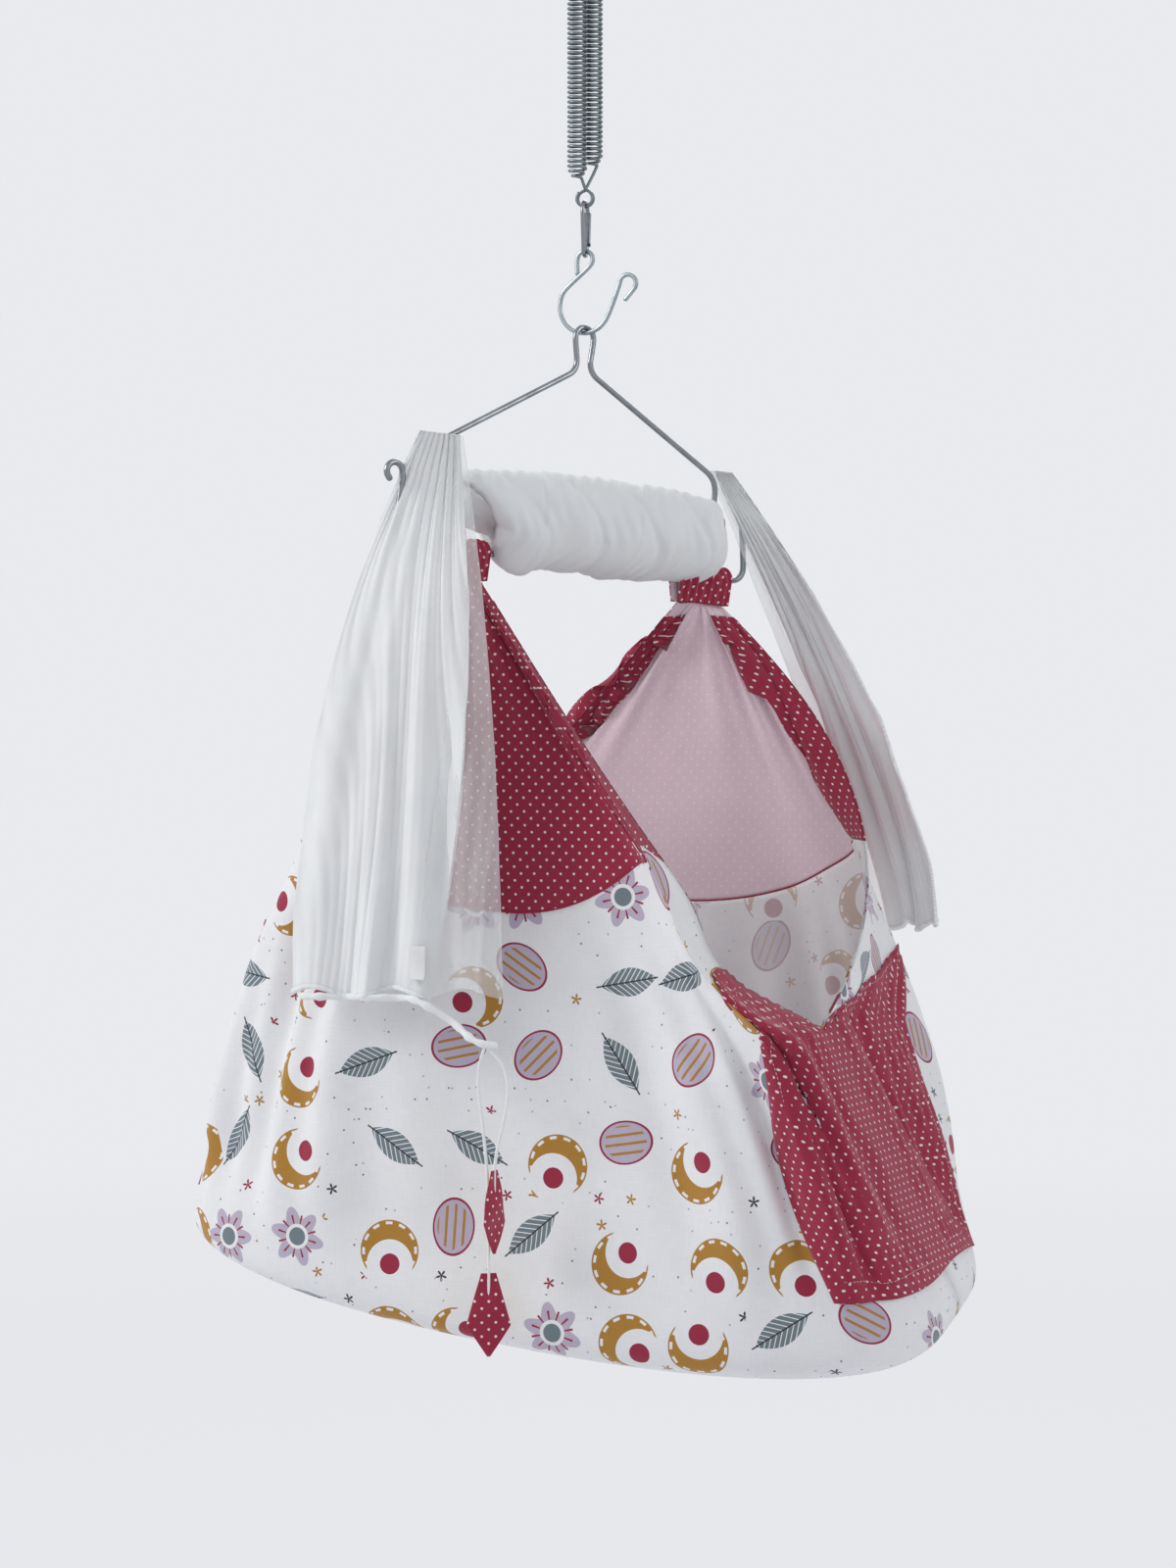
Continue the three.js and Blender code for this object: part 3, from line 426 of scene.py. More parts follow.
def ring_line():
    """The upper ring's path: a full circle in an upright plane."""
    angle = np.linspace(0, 2 * np.pi, 65)[:-1]
    flat = stack(ring_middle * np.cos(angle), 0, ring_middle * np.sin(angle))
    return in_plane(flat, snap_turn, ring_bore / 2)


def end_loop(side, height, way):
    """An end loop of a spring, open by a small gap, from its free tip to its shank."""
    opening = 50 * degree
    angle = -np.pi / 2 + opening + (2 * np.pi - opening * 1.25) * np.linspace(0, 1, 37)
    across = np.array([np.cos(loop_turn), np.sin(loop_turn), 0])
    off = np.array([np.cos(snap_turn), np.sin(snap_turn), 0]) * side * loops_apart / 2
    reach = side * spring_loop / 2 * np.cos(angle)
    points = off + across * reach[:, None]
    points[:, 2] = height + way * spring_loop / 2 * np.sin(angle)
    return points


def spring_line(side, upper_shank):
    """A spring's path: loop, shank, a helix whose radius shrinks at both ends, shank and loop."""
    axis = np.array([np.cos(spring_apart_turn), np.sin(spring_apart_turn)]) * side * spring_apart / 2
    turn = np.linspace(0, spring_turns, spring_turns * 20 + 1)
    from_end = np.minimum(turn, spring_turns - turn)
    radius = spring_mean / 2 * lerp(taper_share, 1, smooth(from_end / taper_turns))
    angle = 2 * np.pi * turn + loop_turn
    top = -spring_head - upper_shank
    coil = stack(
        axis[0] + radius * np.cos(angle), axis[1] + radius * np.sin(angle), top - turn * spring_pitch
    )
    upper = end_loop(side, -spring_head, 1)
    lower = end_loop(side, -spring_foot, -1)[::-1]
    head = through(np.concatenate([upper[-3:], coil[:3]]), 40)
    foot = through(np.concatenate([coil[-3:], lower[:3]]), 40)
    return np.concatenate([upper[:-3], head, coil[3:-3], foot, lower[3:]])


def snap_line():
    """The snap hook's path: a wide bow on top, a straight back and a narrow bow below."""
    foot_z = -snap_top - snap_long
    pivot_z = foot_z + snap_foot
    points = np.concatenate(
        [
            arc(0, -snap_top, snap_top, np.pi / 2 - snap_nose, np.pi, 10),
            arc(0, foot_z, snap_foot, np.pi, 2 * np.pi, 8),
            [[snap_foot, 0, pivot_z + rivet_thick]],
        ]
    )
    return in_plane(through(points, 140), snap_turn, snap_drop)


def hook_line():
    """The open hook's path: a curl on top, a wide bowl and a curled end."""
    tip_z = -hook_tall + hook_tip_rise
    points = np.concatenate(
        [
            [[-hook_curl, 0, -hook_curl * 2.6]],
            arc(0, -hook_curl, hook_curl, np.pi, -0.25 * np.pi, 8),
            arc(0, -hook_tall + hook_bowl, hook_bowl, 0.83 * np.pi, 1.85 * np.pi, 10),
            arc(hook_tip_aside, tip_z, hook_tip, np.pi, -0.3 * np.pi, 7),
            [[hook_tip_aside - hook_tip * 0.25, 0, tip_z - hook_tip * 1.7]],
        ]
    )
    return in_plane(through(points, 220), hook_turn, hook_drop)


def hanger_half(side):
    """Half of the hanger's path in the spreader's plane: eye, neck, arm, leg and the turn round the rod."""
    close_radius = (rod_wire + hanger_wire) / 2 + thread_gap
    neck = -eye_tall
    top = arc(0, -eye_radius, eye_radius, np.pi / 2, 0, 12) * [side, 1, 1]
    corners = [
        [side * eye_radius * 0.97, 0, -eye_radius * 1.5],
        [side * neck_apart / 2, 0, neck],
        [side * arm_reach, 0, neck - arm_fall],
        [side * arm_reach, close_radius, -rod_drop + close_radius],
    ]
    share = np.linspace(0, 1, 40)
    angle = -1.6 * np.pi * share
    wrap = stack(
        side * (arm_reach - (hanger_wire + thread_gap) * share),
        close_radius * np.cos(angle),
        -rod_drop + close_radius * np.sin(angle),
    )
    return np.concatenate([top, bent(corners, arm_bend), wrap])


def hanger_line():
    """The hanger's whole path, from one closed end over the eye to the other."""
    line = np.concatenate([hanger_half(-1)[::-1], hanger_half(1)[1:]])
    line = evenly(through(evenly(line, 3 * mm), 900), 1.5 * mm)
    return on_spreader(line[:, 0], line[:, 1], -line[:, 2])


def rod_half(side):
    """Half of the rod's path: straight, a round turn up, a shank that leans back and an open curl."""
    out = spreader_length / 2
    up = -rod_drop + hook_bend + hook_shank
    reach = out + hook_bend - hook_lean
    points = np.concatenate(
        [
            [[0, 0, -rod_drop], [sleeve_from, 0, -rod_drop], [out - hook_bend / 2, 0, -rod_drop]],
            arc(out, -rod_drop + hook_bend, hook_bend, -np.pi / 2, 0, 5),
            arc(reach + end_curl, up, end_curl, np.pi, -0.28 * np.pi, 8),
        ]
    )
    return points * [side, 1, 1]


def rod_line():
    """The rod's whole path, from one curled end to the other."""
    line = through(np.concatenate([rod_half(-1)[::-1], rod_half(1)[1:]]), 320)
    return on_spreader(line[:, 0], line[:, 1], -line[:, 2])


# The sling's cloth: the floor, and a fan on each side that rises from its rim to a sleeve


def floor_height(x, y):
    """Height of the sling's floor: it slopes along and across, and sags along its middle."""
    along = 2 * x / sling_length
    aside = 2 * y / sling_width
    sag = floor_sag * (1 - np.minimum(1, along * along))
    return -sling_floor_drop - floor_rise_left / 2 * along + floor_rise_far / 2 * aside - sag


def rim_place(side, share, inset=0.0):
    """A place on the floor's rim, a rounded rectangle: a signed power of a circle's two coordinates."""
    angle = np.pi * np.asarray(share, float)
    waves = (np.where(np.abs(wave) < 1e-12, 0, wave) for wave in (np.cos(angle), np.sin(angle)))
    along, aside = (signed_power(wave, corner_share) for wave in waves)
    return side * (sling_length / 2 - inset) * along, -side * (sling_width / 2 - inset) * aside


def yoke_head(side, share):
    """A place on the foot of a rod sleeve, where a fan ends."""
    start, end = (sleeve_from, sleeve_to) if side > 0 else (far_sleeve_from, far_sleeve_to)
    along = -side * lerp(start + cloth_thick, end - cloth_thick, np.asarray(share, float))
    return on_spreader(along, 0, rod_drop + sleeve_tail + thread_gap + cloth_thick / 2)


# The patch's top corner draws the near edge in towards the fan's middle, by a raised cosine of its height
corner_height_share = 0.56
corner_reach_share = 0.15
corner_pull = 24 * mm


def open_edge(side, end, height):
    """The edge of an open end at a height share: straight to the notch, then a bowed curve to the sleeve."""
    end_side = side if end == 0 else -side
    foot_x, foot_y = rim_place(end_side, 0)
    foot_z = floor_height(foot_x, foot_y)
    foot = np.array([float(foot_x), float(foot_y), float(foot_z)])
    low_z = floor_height(end_side * sling_length / 2, 0) + notch_lift
    low = np.array([end_side * notch_along, -end_side * notch_aside, low_z])
    outer = outer_edge if side > 0 else far_outer_edge
    along, aside, lift = inner_edge if end == 0 else outer
    bow = np.array([end_side * along, -side * aside, foot_z + lift])
    height = np.asarray(height, float)[..., None]
    lower = lerp(foot, low, height / notch_height_share)
    t = np.clip((height - notch_height_share) / (1 - notch_height_share), 0, 1)
    head = yoke_head(side, float(end))
    upper = (1 - t) ** 2 * low + 2 * t * (1 - t) * bow + t**2 * head
    if side > 0 and end == 0:
        near = np.clip(np.abs(height - corner_height_share) / corner_reach_share, 0, 1)
        upper = upper - end_side * corner_pull * (0.5 + 0.5 * np.cos(np.pi * near)) * np.array([1.0, 0, 0])
    return np.where(height <= notch_height_share, lower, upper)


def plain_fan(side, share, height):
    """A straight rise from the rim to the sleeve, drawn in late by a power of the height."""
    x, y = rim_place(side, share)
    head = yoke_head(side, share)
    drawn = height**fullness
    z = lerp(floor_height(x, y), head[..., 2], height)
    return stack(lerp(x, head[..., 0], drawn), lerp(y, head[..., 1], drawn), z)


def fan_point(side, share, height, folds=1.0):
    """A fan's surface: the plain rise, pulled to the two open edges, with broad pleats over it."""
    share, height = np.broadcast_arrays(np.asarray(share, float), np.asarray(height, float))
    point = plain_fan(side, share, height)
    for end, near in ((0, share), (1, 1 - share)):
        pull = 1 - smooth(near / edge_reach_shares[end])
        wanted = open_edge(side, end, height) - plain_fan(side, np.full_like(share, float(end)), height)
        point = point + wanted * pull[..., None]
    fold = np.sin(np.pi * height) * (1 - height) * np.sin(np.pi * share) ** 2
    wave = folds * pleat_depth * fold * np.cos(2 * np.pi * pleats * share)
    out = unit(stack(point[..., 0] / sling_length, point[..., 1] / sling_width, 0))
    return point + out * wave[..., None]


def seam_height(side, share):
    """The seam's height share: low in a fan's middle, it rises to both open edges by a sine."""
    share = np.asarray(share, float)
    to_start, to_end = np.clip(1 - 2 * share, 0, 1), np.clip(2 * share - 1, 0, 1)
    first, last = seam_rise_shares[side]
    rise = first * np.sin(np.pi / 2 * to_start) + last * np.sin(np.pi / 2 * to_end)
    return seam_middle_shares[side] + rise


# Materials: patterns that several of them use are node groups


def tint(code):
    """A colour written as six hexadecimal digits, in the linear values that a shader takes."""
    values = np.array([int(code[k : k + 2], 16) for k in (0, 2, 4)]) / 255
    linear = np.where(values <= 0.04045, values / 12.92, ((values + 0.055) / 1.055) ** 2.4)
    return (*linear.tolist(), 1.0)


class Nodes:
    """Adds nodes to a tree, with short names for the sums that a pattern needs."""

    def __init__(self, tree):
        self.tree = tree

    def put(self, socket, value):
        """Links a socket to a node's output, or sets it to a plain value."""
        if isinstance(value, bpy.types.NodeSocket):
            self.tree.links.new(value, socket)
        else:
            socket.default_value = value

    def add(self, kind, settings=(), **sockets):
        """A node with its settings and its inputs, whose names are written with underscores."""
        node = self.tree.nodes.new("ShaderNode" + kind)
        for key, value in dict(settings).items():
            setattr(node, key, value)
        for key, value in sockets.items():
            self.put(node.inputs[key.replace("_", " ")], value)
        return node

    def calc(self, operation, *values, clamp=False):
        """A sum of one to three numbers."""
        node = self.add("Math", {"operation": operation, "use_clamp": clamp})
        for socket, value in zip(node.inputs, values):
            self.put(socket, value)
        return node.outputs[0]

    def vector(self, operation, *values):
        """A sum of vectors."""
        node = self.add("VectorMath", {"operation": operation})
        for socket, value in zip(node.inputs, values):
            self.put(socket, value)
        return node.outputs["Value" if operation in ("LENGTH", "DISTANCE") else "Vector"]

    def blend(self, share, first, second, way="MIX"):
        """A mix of two colours."""
        node = self.add("Mix", {"data_type": "RGBA", "blend_type": way})
        self.put(node.inputs[0], share)
        self.put(node.inputs[6], first)
        self.put(node.inputs[7], second)
        return node.outputs[2]

    def parts(self, vector):
        """The X, Y and Z of a vector."""
        return self.add("SeparateXYZ", Vector=vector).outputs

    def under(self, value, limit):
        """1 where the value is under the limit, and 0 elsewhere."""
        return self.calc("LESS_THAN", value, limit)

    def both(self, *masks):
        """1 where all the masks are 1."""
        result = masks[0]
        for mask in masks[1:]:
            result = self.calc("MULTIPLY", result, mask)
        return result

    def ball(self, x, y, place_x, place_y, radius):
        """1 inside a circle round a place."""
        across = self.calc("SUBTRACT", x, place_x)
        up = self.calc("SUBTRACT", y, place_y)
        square = self.calc("ADD", self.calc("MULTIPLY", across, across), self.calc("MULTIPLY", up, up))
        return self.under(square, radius * radius)

    def remap(self, value, low, high, to_low, to_high):
        """A value moved from one range to another, and held to it."""
        node = self.add("MapRange", {"clamp": True}, Value=value)
        for key, amount in (("From Min", low), ("From Max", high), ("To Min", to_low), ("To Max", to_high)):
            node.inputs[key].default_value = amount
        return node.outputs[0]


def new_group(name, inputs, outputs):
    """A node group with named inputs and outputs, and the helper that fills it."""
    tree = bpy.data.node_groups.new(name, "ShaderNodeTree")
    for label, kind, default in inputs:
        socket = tree.interface.new_socket(name=label, in_out="INPUT", socket_type="NodeSocket" + kind)
        if default is not None:
            socket.default_value = default
    for label, kind in outputs:
        tree.interface.new_socket(name=label, in_out="OUTPUT", socket_type="NodeSocket" + kind)
    nodes = Nodes(tree)
    given = tree.nodes.new("NodeGroupInput").outputs
    result = tree.nodes.new("NodeGroupOutput").inputs
    return tree, nodes, given, result


# Repeats a metre of the cloth's thicker threads: along them and across them
slub_scales = (60.0, 900.0)


def weave_group():
    """Plain cotton weave: fine crossed ridges, thicker threads here and there, and soft wear."""
    inputs = [("Vector", "Vector", None), ("Thread", "Float", 0.7 * mm)]
    tree, n, given, result = new_group("Cotton weave", inputs, [("Height", "Float"), ("Shade", "Float")])
    x, y, _ = n.parts(given["Vector"])
    turns = n.calc("DIVIDE", 2 * np.pi, given["Thread"])
    ridges = [n.calc("SINE", n.calc("MULTIPLY", value, turns)) for value in (x, y)]
    crossed = n.calc("MULTIPLY", ridges[0], ridges[1])
    slubs = [
        n.add("TexNoise", Vector=n.vector("MULTIPLY", given["Vector"], (*scales, 1.0)), Scale=1.0)
        for scales in (slub_scales, slub_scales[::-1])
    ]
    slub = n.calc("ADD", *(noise.outputs[0] for noise in slubs))
    cloud = n.add("TexNoise", Vector=given["Vector"], Scale=14.0, Detail=3.0).outputs[0]
    n.put(result["Height"], n.calc("MULTIPLY_ADD", crossed, 0.35, slub))
    fine = n.remap(slub, 0.6, 1.4, 0.955, 1.045)
    n.put(result["Shade"], n.calc("MULTIPLY", fine, n.remap(cloud, 0.3, 0.7, 0.965, 1.03)))
    return tree


def dots_group():
    """Pin dots in staggered rows: circles round the corners and the middles of square cells."""
    inputs = [("Vector", "Vector", None), ("Cell", "Float", 12.4 * mm), ("Radius", "Float", 1.15 * mm)]
    tree, n, given, result = new_group("Pin dots", inputs, [("Mask", "Float")])
    x, y, _ = n.parts(given["Vector"])
    nearest = []
    for shift in (0.0, 0.5):
        off = [
            n.calc("SUBTRACT", n.calc("FRACT", n.calc("ADD", cells, shift)), 0.5)
            for cells in (n.calc("DIVIDE", value, given["Cell"]) for value in (x, y))
        ]
        square = n.calc("ADD", n.calc("MULTIPLY", off[0], off[0]), n.calc("MULTIPLY", off[1], off[1]))
        nearest.append(n.calc("SQRT", square))
    distance = n.calc("MULTIPLY", n.calc("MINIMUM", *nearest), given["Cell"])
    edge = n.calc("SUBTRACT", given["Radius"], distance)
    n.put(result["Mask"], n.remap(edge, -0.2 * mm, 0.2 * mm, 0.0, 1.0))
    return tree


CRIMSON = tint("9e2140")
MUSTARD = tint("b5832f")
SLATE = tint("74838a")
MAUVE = tint("c2b7ca")
CHARCOAL = tint("3a3a40")
DOT_WHITE = tint("ece6e6")
COTTON_WHITE = tint("f1f1f2")
motif_spacing = 77 * mm
motif_radius = 27.5 * mm


def scattered(n, vector, spacing, randomness):
    """Scattered places: X and Y from the nearest one, its distance, and three chance values for it."""
    cells = n.add("TexVoronoi", {"voronoi_dimensions": "2D"}, Vector=vector, Scale=1 / spacing)
    cells.inputs["Randomness"].default_value = randomness
    chance = n.add("SeparateColor", Color=cells.outputs["Color"]).outputs
    off = n.vector("SUBTRACT", vector, cells.outputs["Position"])
    turn = n.calc("MULTIPLY", chance[0], 2 * np.pi)
    spun = n.add("VectorRotate", {"rotation_type": "Z_AXIS"}, Vector=off, Angle=turn)
    x, y, _ = n.parts(spun.outputs[0])
    return x, y, n.vector("LENGTH", off), chance


def motif_shapes(n, x, y, reach):
    """The layers of the four motifs: for each, a mask in its own X and Y, and its colour."""
    size = motif_radius
    angle = n.calc("ARCTAN2", y, x)
    petals = n.calc("MULTIPLY_ADD", n.calc("COSINE", n.calc("MULTIPLY", angle, 6.0)), 0.2 * size, 0.8 * size)
    ribs = n.calc("COSINE", n.calc("MULTIPLY", angle, 12.0))
    side = n.calc("ABSOLUTE", x)
    high = n.calc("DIVIDE", y, size)
    leaf_width = n.calc("MULTIPLY", n.calc("SUBTRACT", 1.0, n.calc("MULTIPLY", high, high)), 0.46 * size)
    leaf = n.under(side, leaf_width)
    vein = n.calc("FRACT", n.calc("DIVIDE", n.calc("ADD", side, y), 6 * mm))
    oval_y = n.calc("MULTIPLY", y, 1.35)
    oval = n.calc("SQRT", n.calc("ADD", n.calc("MULTIPLY", x, x), n.calc("MULTIPLY", oval_y, oval_y)))
    stripe = n.calc("FRACT", n.calc("DIVIDE", y, 8 * mm))
    bite = n.ball(x, y, 0.42 * size, 0.12 * size, 0.8 * size)
    moon = n.both(n.under(reach, size), n.calc("SUBTRACT", 1.0, bite))
    rim = n.calc("ABSOLUTE", n.calc("SUBTRACT", reach, 0.9 * size))
    beads = n.both(moon, n.ball(rim, 0.0, 0.0, 0.0, 1.3 * mm))
    return [
        [(moon, MUSTARD), (n.both(beads, n.under(ribs, 0.0)), COTTON_WHITE),
         (n.ball(x, y, 0.42 * size, 0.12 * size, 0.34 * size), CRIMSON)],
        [(n.under(reach, petals), MAUVE), (n.both(n.under(reach, 0.72 * size), n.under(0.8, ribs)), CRIMSON),
         (n.under(reach, 0.42 * size), COTTON_WHITE), (n.under(reach, 0.3 * size), SLATE)],
        [(leaf, SLATE), (n.both(leaf, n.under(vein, 0.2)), COTTON_WHITE),
         (n.both(n.under(side, 0.7 * mm), n.under(reach, 1.15 * size)), CHARCOAL)],
        [(n.under(oval, 0.95 * size), CRIMSON), (n.under(oval, 0.87 * size), MAUVE),
         (n.both(n.under(oval, 0.74 * size), n.under(stripe, 0.3)), MUSTARD)],
    ]


def motif_group():
    """A loose print: moons, flowers, leaves and striped pebbles, with small stars and specks between them."""
    inputs = [("Vector", "Vector", None), ("Ground", "Color", COTTON_WHITE)]
    tree, n, given, result = new_group("Loose print", inputs, [("Color", "Color")])
    x, y, reach, chance = scattered(n, given["Vector"], motif_spacing, 0.5)
    colour = given["Ground"]
    pick = n.calc("MULTIPLY", chance[1], 4.0)
    for number, layers in enumerate(motif_shapes(n, x, y, reach)):
        chosen = n.both(n.under(number, pick), n.under(pick, number + 1.0))
        for mask, shade in layers:
            colour = n.blend(n.both(mask, chosen), colour, shade)
    clear = n.under(1.2 * motif_radius, reach)
    star_x, star_y, star_reach, star_chance = scattered(n, given["Vector"], 25 * mm, 0.85)
    points = n.calc("COSINE", n.calc("MULTIPLY", n.calc("ARCTAN2", star_y, star_x), 5.0))
    star = n.under(star_reach, n.calc("MULTIPLY_ADD", points, 2.2 * mm, 3.1 * mm))
    for low, high, shade in ((0.0, 0.07, CRIMSON), (0.07, 0.16, MUSTARD), (0.16, 0.2, CHARCOAL)):
        chosen = n.both(n.under(low, star_chance[1]), n.under(star_chance[1], high))
        colour = n.blend(n.both(star, chosen, clear), colour, shade)
    _, _, speck_reach, speck_chance = scattered(n, given["Vector"], 10 * mm, 0.9)
    speck = n.both(n.under(speck_reach, 0.95 * mm), n.under(speck_chance[1], 0.2), clear)
    colour = n.blend(speck, colour, n.blend(n.under(speck_chance[2], 0.5), MAUVE, SLATE))
    n.put(result["Color"], colour)
    return tree


def wire_group():
    """Wire wear: fine grain, and dull patches here and there."""
    inputs = [("Vector", "Vector", None), ("Roughness", "Float", 0.25)]
    outputs = [("Roughness", "Float"), ("Shade", "Float"), ("Height", "Float")]
    tree, n, given, result = new_group("Wire wear", inputs, outputs)
    cloud = n.add("TexNoise", Vector=given["Vector"], Scale=70.0, Detail=4.0).outputs[0]
    grain = n.add("TexNoise", Vector=given["Vector"], Scale=900.0, Detail=2.0).outputs[0]
    rough = n.calc("ADD", given["Roughness"], n.remap(cloud, 0.35, 0.75, -0.05, 0.16))
    n.put(result["Roughness"], n.calc("ADD", rough, n.remap(grain, 0.4, 0.7, 0.0, 0.06)))
    n.put(result["Shade"], n.remap(cloud, 0.3, 0.75, 1.06, 0.78))
    n.put(result["Height"], grain)
    return tree


def net_group():
    """Net mesh: two sets of thin threads, which cover part of each small cell, and thin clouds in it."""
    inputs = [("Vector", "Vector", None), ("Cell", "Float", 1.7 * mm), ("Cover", "Float", 0.5)]
    tree, n, given, result = new_group("Net mesh", inputs, [("Alpha", "Float"), ("Height", "Float")])
    x, y, _ = n.parts(given["Vector"])
    turns = n.calc("DIVIDE", 2 * np.pi, given["Cell"])
    waves = [n.calc("ABSOLUTE", n.calc("SINE", n.calc("MULTIPLY", value, turns))) for value in (x, y)]
    thread = n.calc("MAXIMUM", *waves)
    drawn = n.vector("MULTIPLY", given["Vector"], (20.0, 7.0, 1.0))
    streak = n.add("TexNoise", Vector=drawn, Scale=1.0, Detail=3.0)
    cloud = n.remap(streak.outputs[0], 0.3, 0.7, -0.08, 0.08)
    mesh = n.remap(thread, 0.3, 1.0, -0.12, 0.1)
    n.put(result["Alpha"], n.calc("ADD", n.calc("ADD", given["Cover"], cloud), mesh, clamp=True))
    n.put(result["Height"], thread)
    return tree


groups = {}
materials = {}


def group_node(n, name, **sockets):
    """One of the shared groups, placed in a material."""
    node = n.tree.nodes.new("ShaderNodeGroup")
    node.node_tree = groups[name]
    for key, value in sockets.items():
        n.put(node.inputs[key], value)
    return node.outputs


def new_material(name):
    """Makes a material, kept under its name, and returns its helper and its shader."""
    material = bpy.data.materials.new(name)
    material.use_nodes = True
    materials[name] = material
    return Nodes(material.node_tree), material.node_tree.nodes["Principled BSDF"]


def place_on_cloth(n):
    """The piece's own map, in metres on the cloth."""
    return n.add("UVMap", {"uv_map": "cloth"}).outputs["UV"]


def set_inputs(shader, **values):
    """Sets a shader's inputs to plain values. Their names are written with underscores."""
    for key, value in values.items():
        shader.inputs[key.replace("_", " ")].default_value = value


def soften(shader, share, reach):
    """Light that passes into the surface and comes out near by, alike in all colours."""
    set_inputs(shader, Subsurface_Weight=share, Subsurface_Scale=reach, Subsurface_Radius=(1.0, 1.0, 1.0))


def roughen(n, shader, height, strength, depth):
    """A pattern's height as bumps of a depth."""
    bump = n.add("Bump", Strength=strength, Distance=depth, Height=height)
    n.put(shader.inputs["Normal"], bump.outputs[0])


def paint(n, shader, colour, shade):
    """A colour that a pattern's shade makes lighter or darker."""
    grey = n.add("CombineColor", Red=shade, Green=shade, Blue=shade).outputs[0]
    n.put(shader.inputs["Base Color"], n.blend(1.0, colour, grey, "MULTIPLY"))


def cloth_material(name, pattern, ground, fade=0.0, sheen=0.25, bump=0.25):
    """Cotton with its weave, a pattern, and its sheen. A faded one shows the pattern through its back."""
    n, shader = new_material(name)
    place = place_on_cloth(n)
    weave = group_node(n, "weave", Vector=place)
    if pattern == "dots":
        colour = n.blend(group_node(n, "dots", Vector=place)["Mask"], ground, DOT_WHITE)
    elif pattern == "print":
        colour = group_node(n, "print", Vector=place, Ground=ground)["Color"]
    else:
        colour = n.blend(0.0, ground, ground)
    if fade:
        colour = n.blend(fade, colour, tint("f6f1f3"))
    paint(n, shader, colour, weave["Shade"])
    roughen(n, shader, weave["Height"], bump, 0.4 * mm)
    set_inputs(shader, Roughness=0.86, Sheen_Weight=sheen, Sheen_Roughness=0.5)
    soften(shader, 0.3, 1.2 * mm)


def wire_material(name, colour, roughness):
    """Plated steel wire with fine wear."""
    n, shader = new_material(name)
    place = n.add("TexCoord").outputs["Object"]
    wear = group_node(n, "wire", Vector=place, Roughness=roughness)
    paint(n, shader, colour, wear["Shade"])
    roughen(n, shader, wear["Height"], 0.08, 0.2 * mm)
    n.put(shader.inputs["Roughness"], wear["Roughness"])
    set_inputs(shader, Metallic=1.0)


def net_material(name, cover, colour):
    """White net in one or more layers: how much it covers is its alpha."""
    n, shader = new_material(name)
    place = place_on_cloth(n)
    mesh = group_node(n, "net", Vector=place, Cover=cover)
    cloud = n.add("TexNoise", Vector=place, Scale=16.0, Detail=3.0).outputs[0]
    n.put(shader.inputs["Base Color"], n.blend(n.remap(cloud, 0.35, 0.7, 0.0, 0.35), colour, tint("ebf0f1")))
    n.put(shader.inputs["Alpha"], mesh["Alpha"])
    roughen(n, shader, mesh["Height"], 0.3, 0.4 * mm)
    set_inputs(shader, Roughness=0.9, Sheen_Weight=0.3)
    soften(shader, 0.5, 2.5 * mm)


def make_materials(settings):
    """All groups and materials, made once."""
    groups.update(weave=weave_group(), dots=dots_group(), print=motif_group())
    groups.update(wire=wire_group(), net=net_group())
    cloth_material("crimson_dots", "dots", (*settings.crimson_color, 1.0), sheen=0.15)
    # The back's ground is a paler pink because the dye is faded there, and it is lightened further as painted
    # light for light that shines through the cloth
    cloth_material("crimson_reverse", "dots", tint("e9ccd6"), fade=0.25)
    cloth_material("printed_cotton", "print", COTTON_WHITE)
    cloth_material("print_reverse", "print", COTTON_WHITE, fade=0.55)
    cloth_material("white_cotton", "plain", COTTON_WHITE)
    cloth_material("mustard_lining", "plain", MUSTARD)
    cloth_material("white_tape", "plain", tint("f4f4f4"), bump=0.5)
    cloth_material("top_stitch", "plain", tint("e6dcdc"), bump=0.6)
    wire_material("zinc_wire", tint("aab4b8"), 0.3)
    wire_material("spring_wire", tint("7f898d"), 0.34)
    # Painted shade: a darker grey than bright chrome, standing in for the dark surroundings that the chrome
    # reflects
    wire_material("chrome_wire", tint("8d9296"), 0.16)
    net_material("net_roll_cloth", 0.97, tint("f3f5f5"))
    net_material("net_folds", 0.86, tint("f7f9f9"))
    net_material("net_veil", 0.42, tint("f7f9f9"))
    net_material("net_edge", 0.93, tint("f4f6f6"))


# Pieces of wire


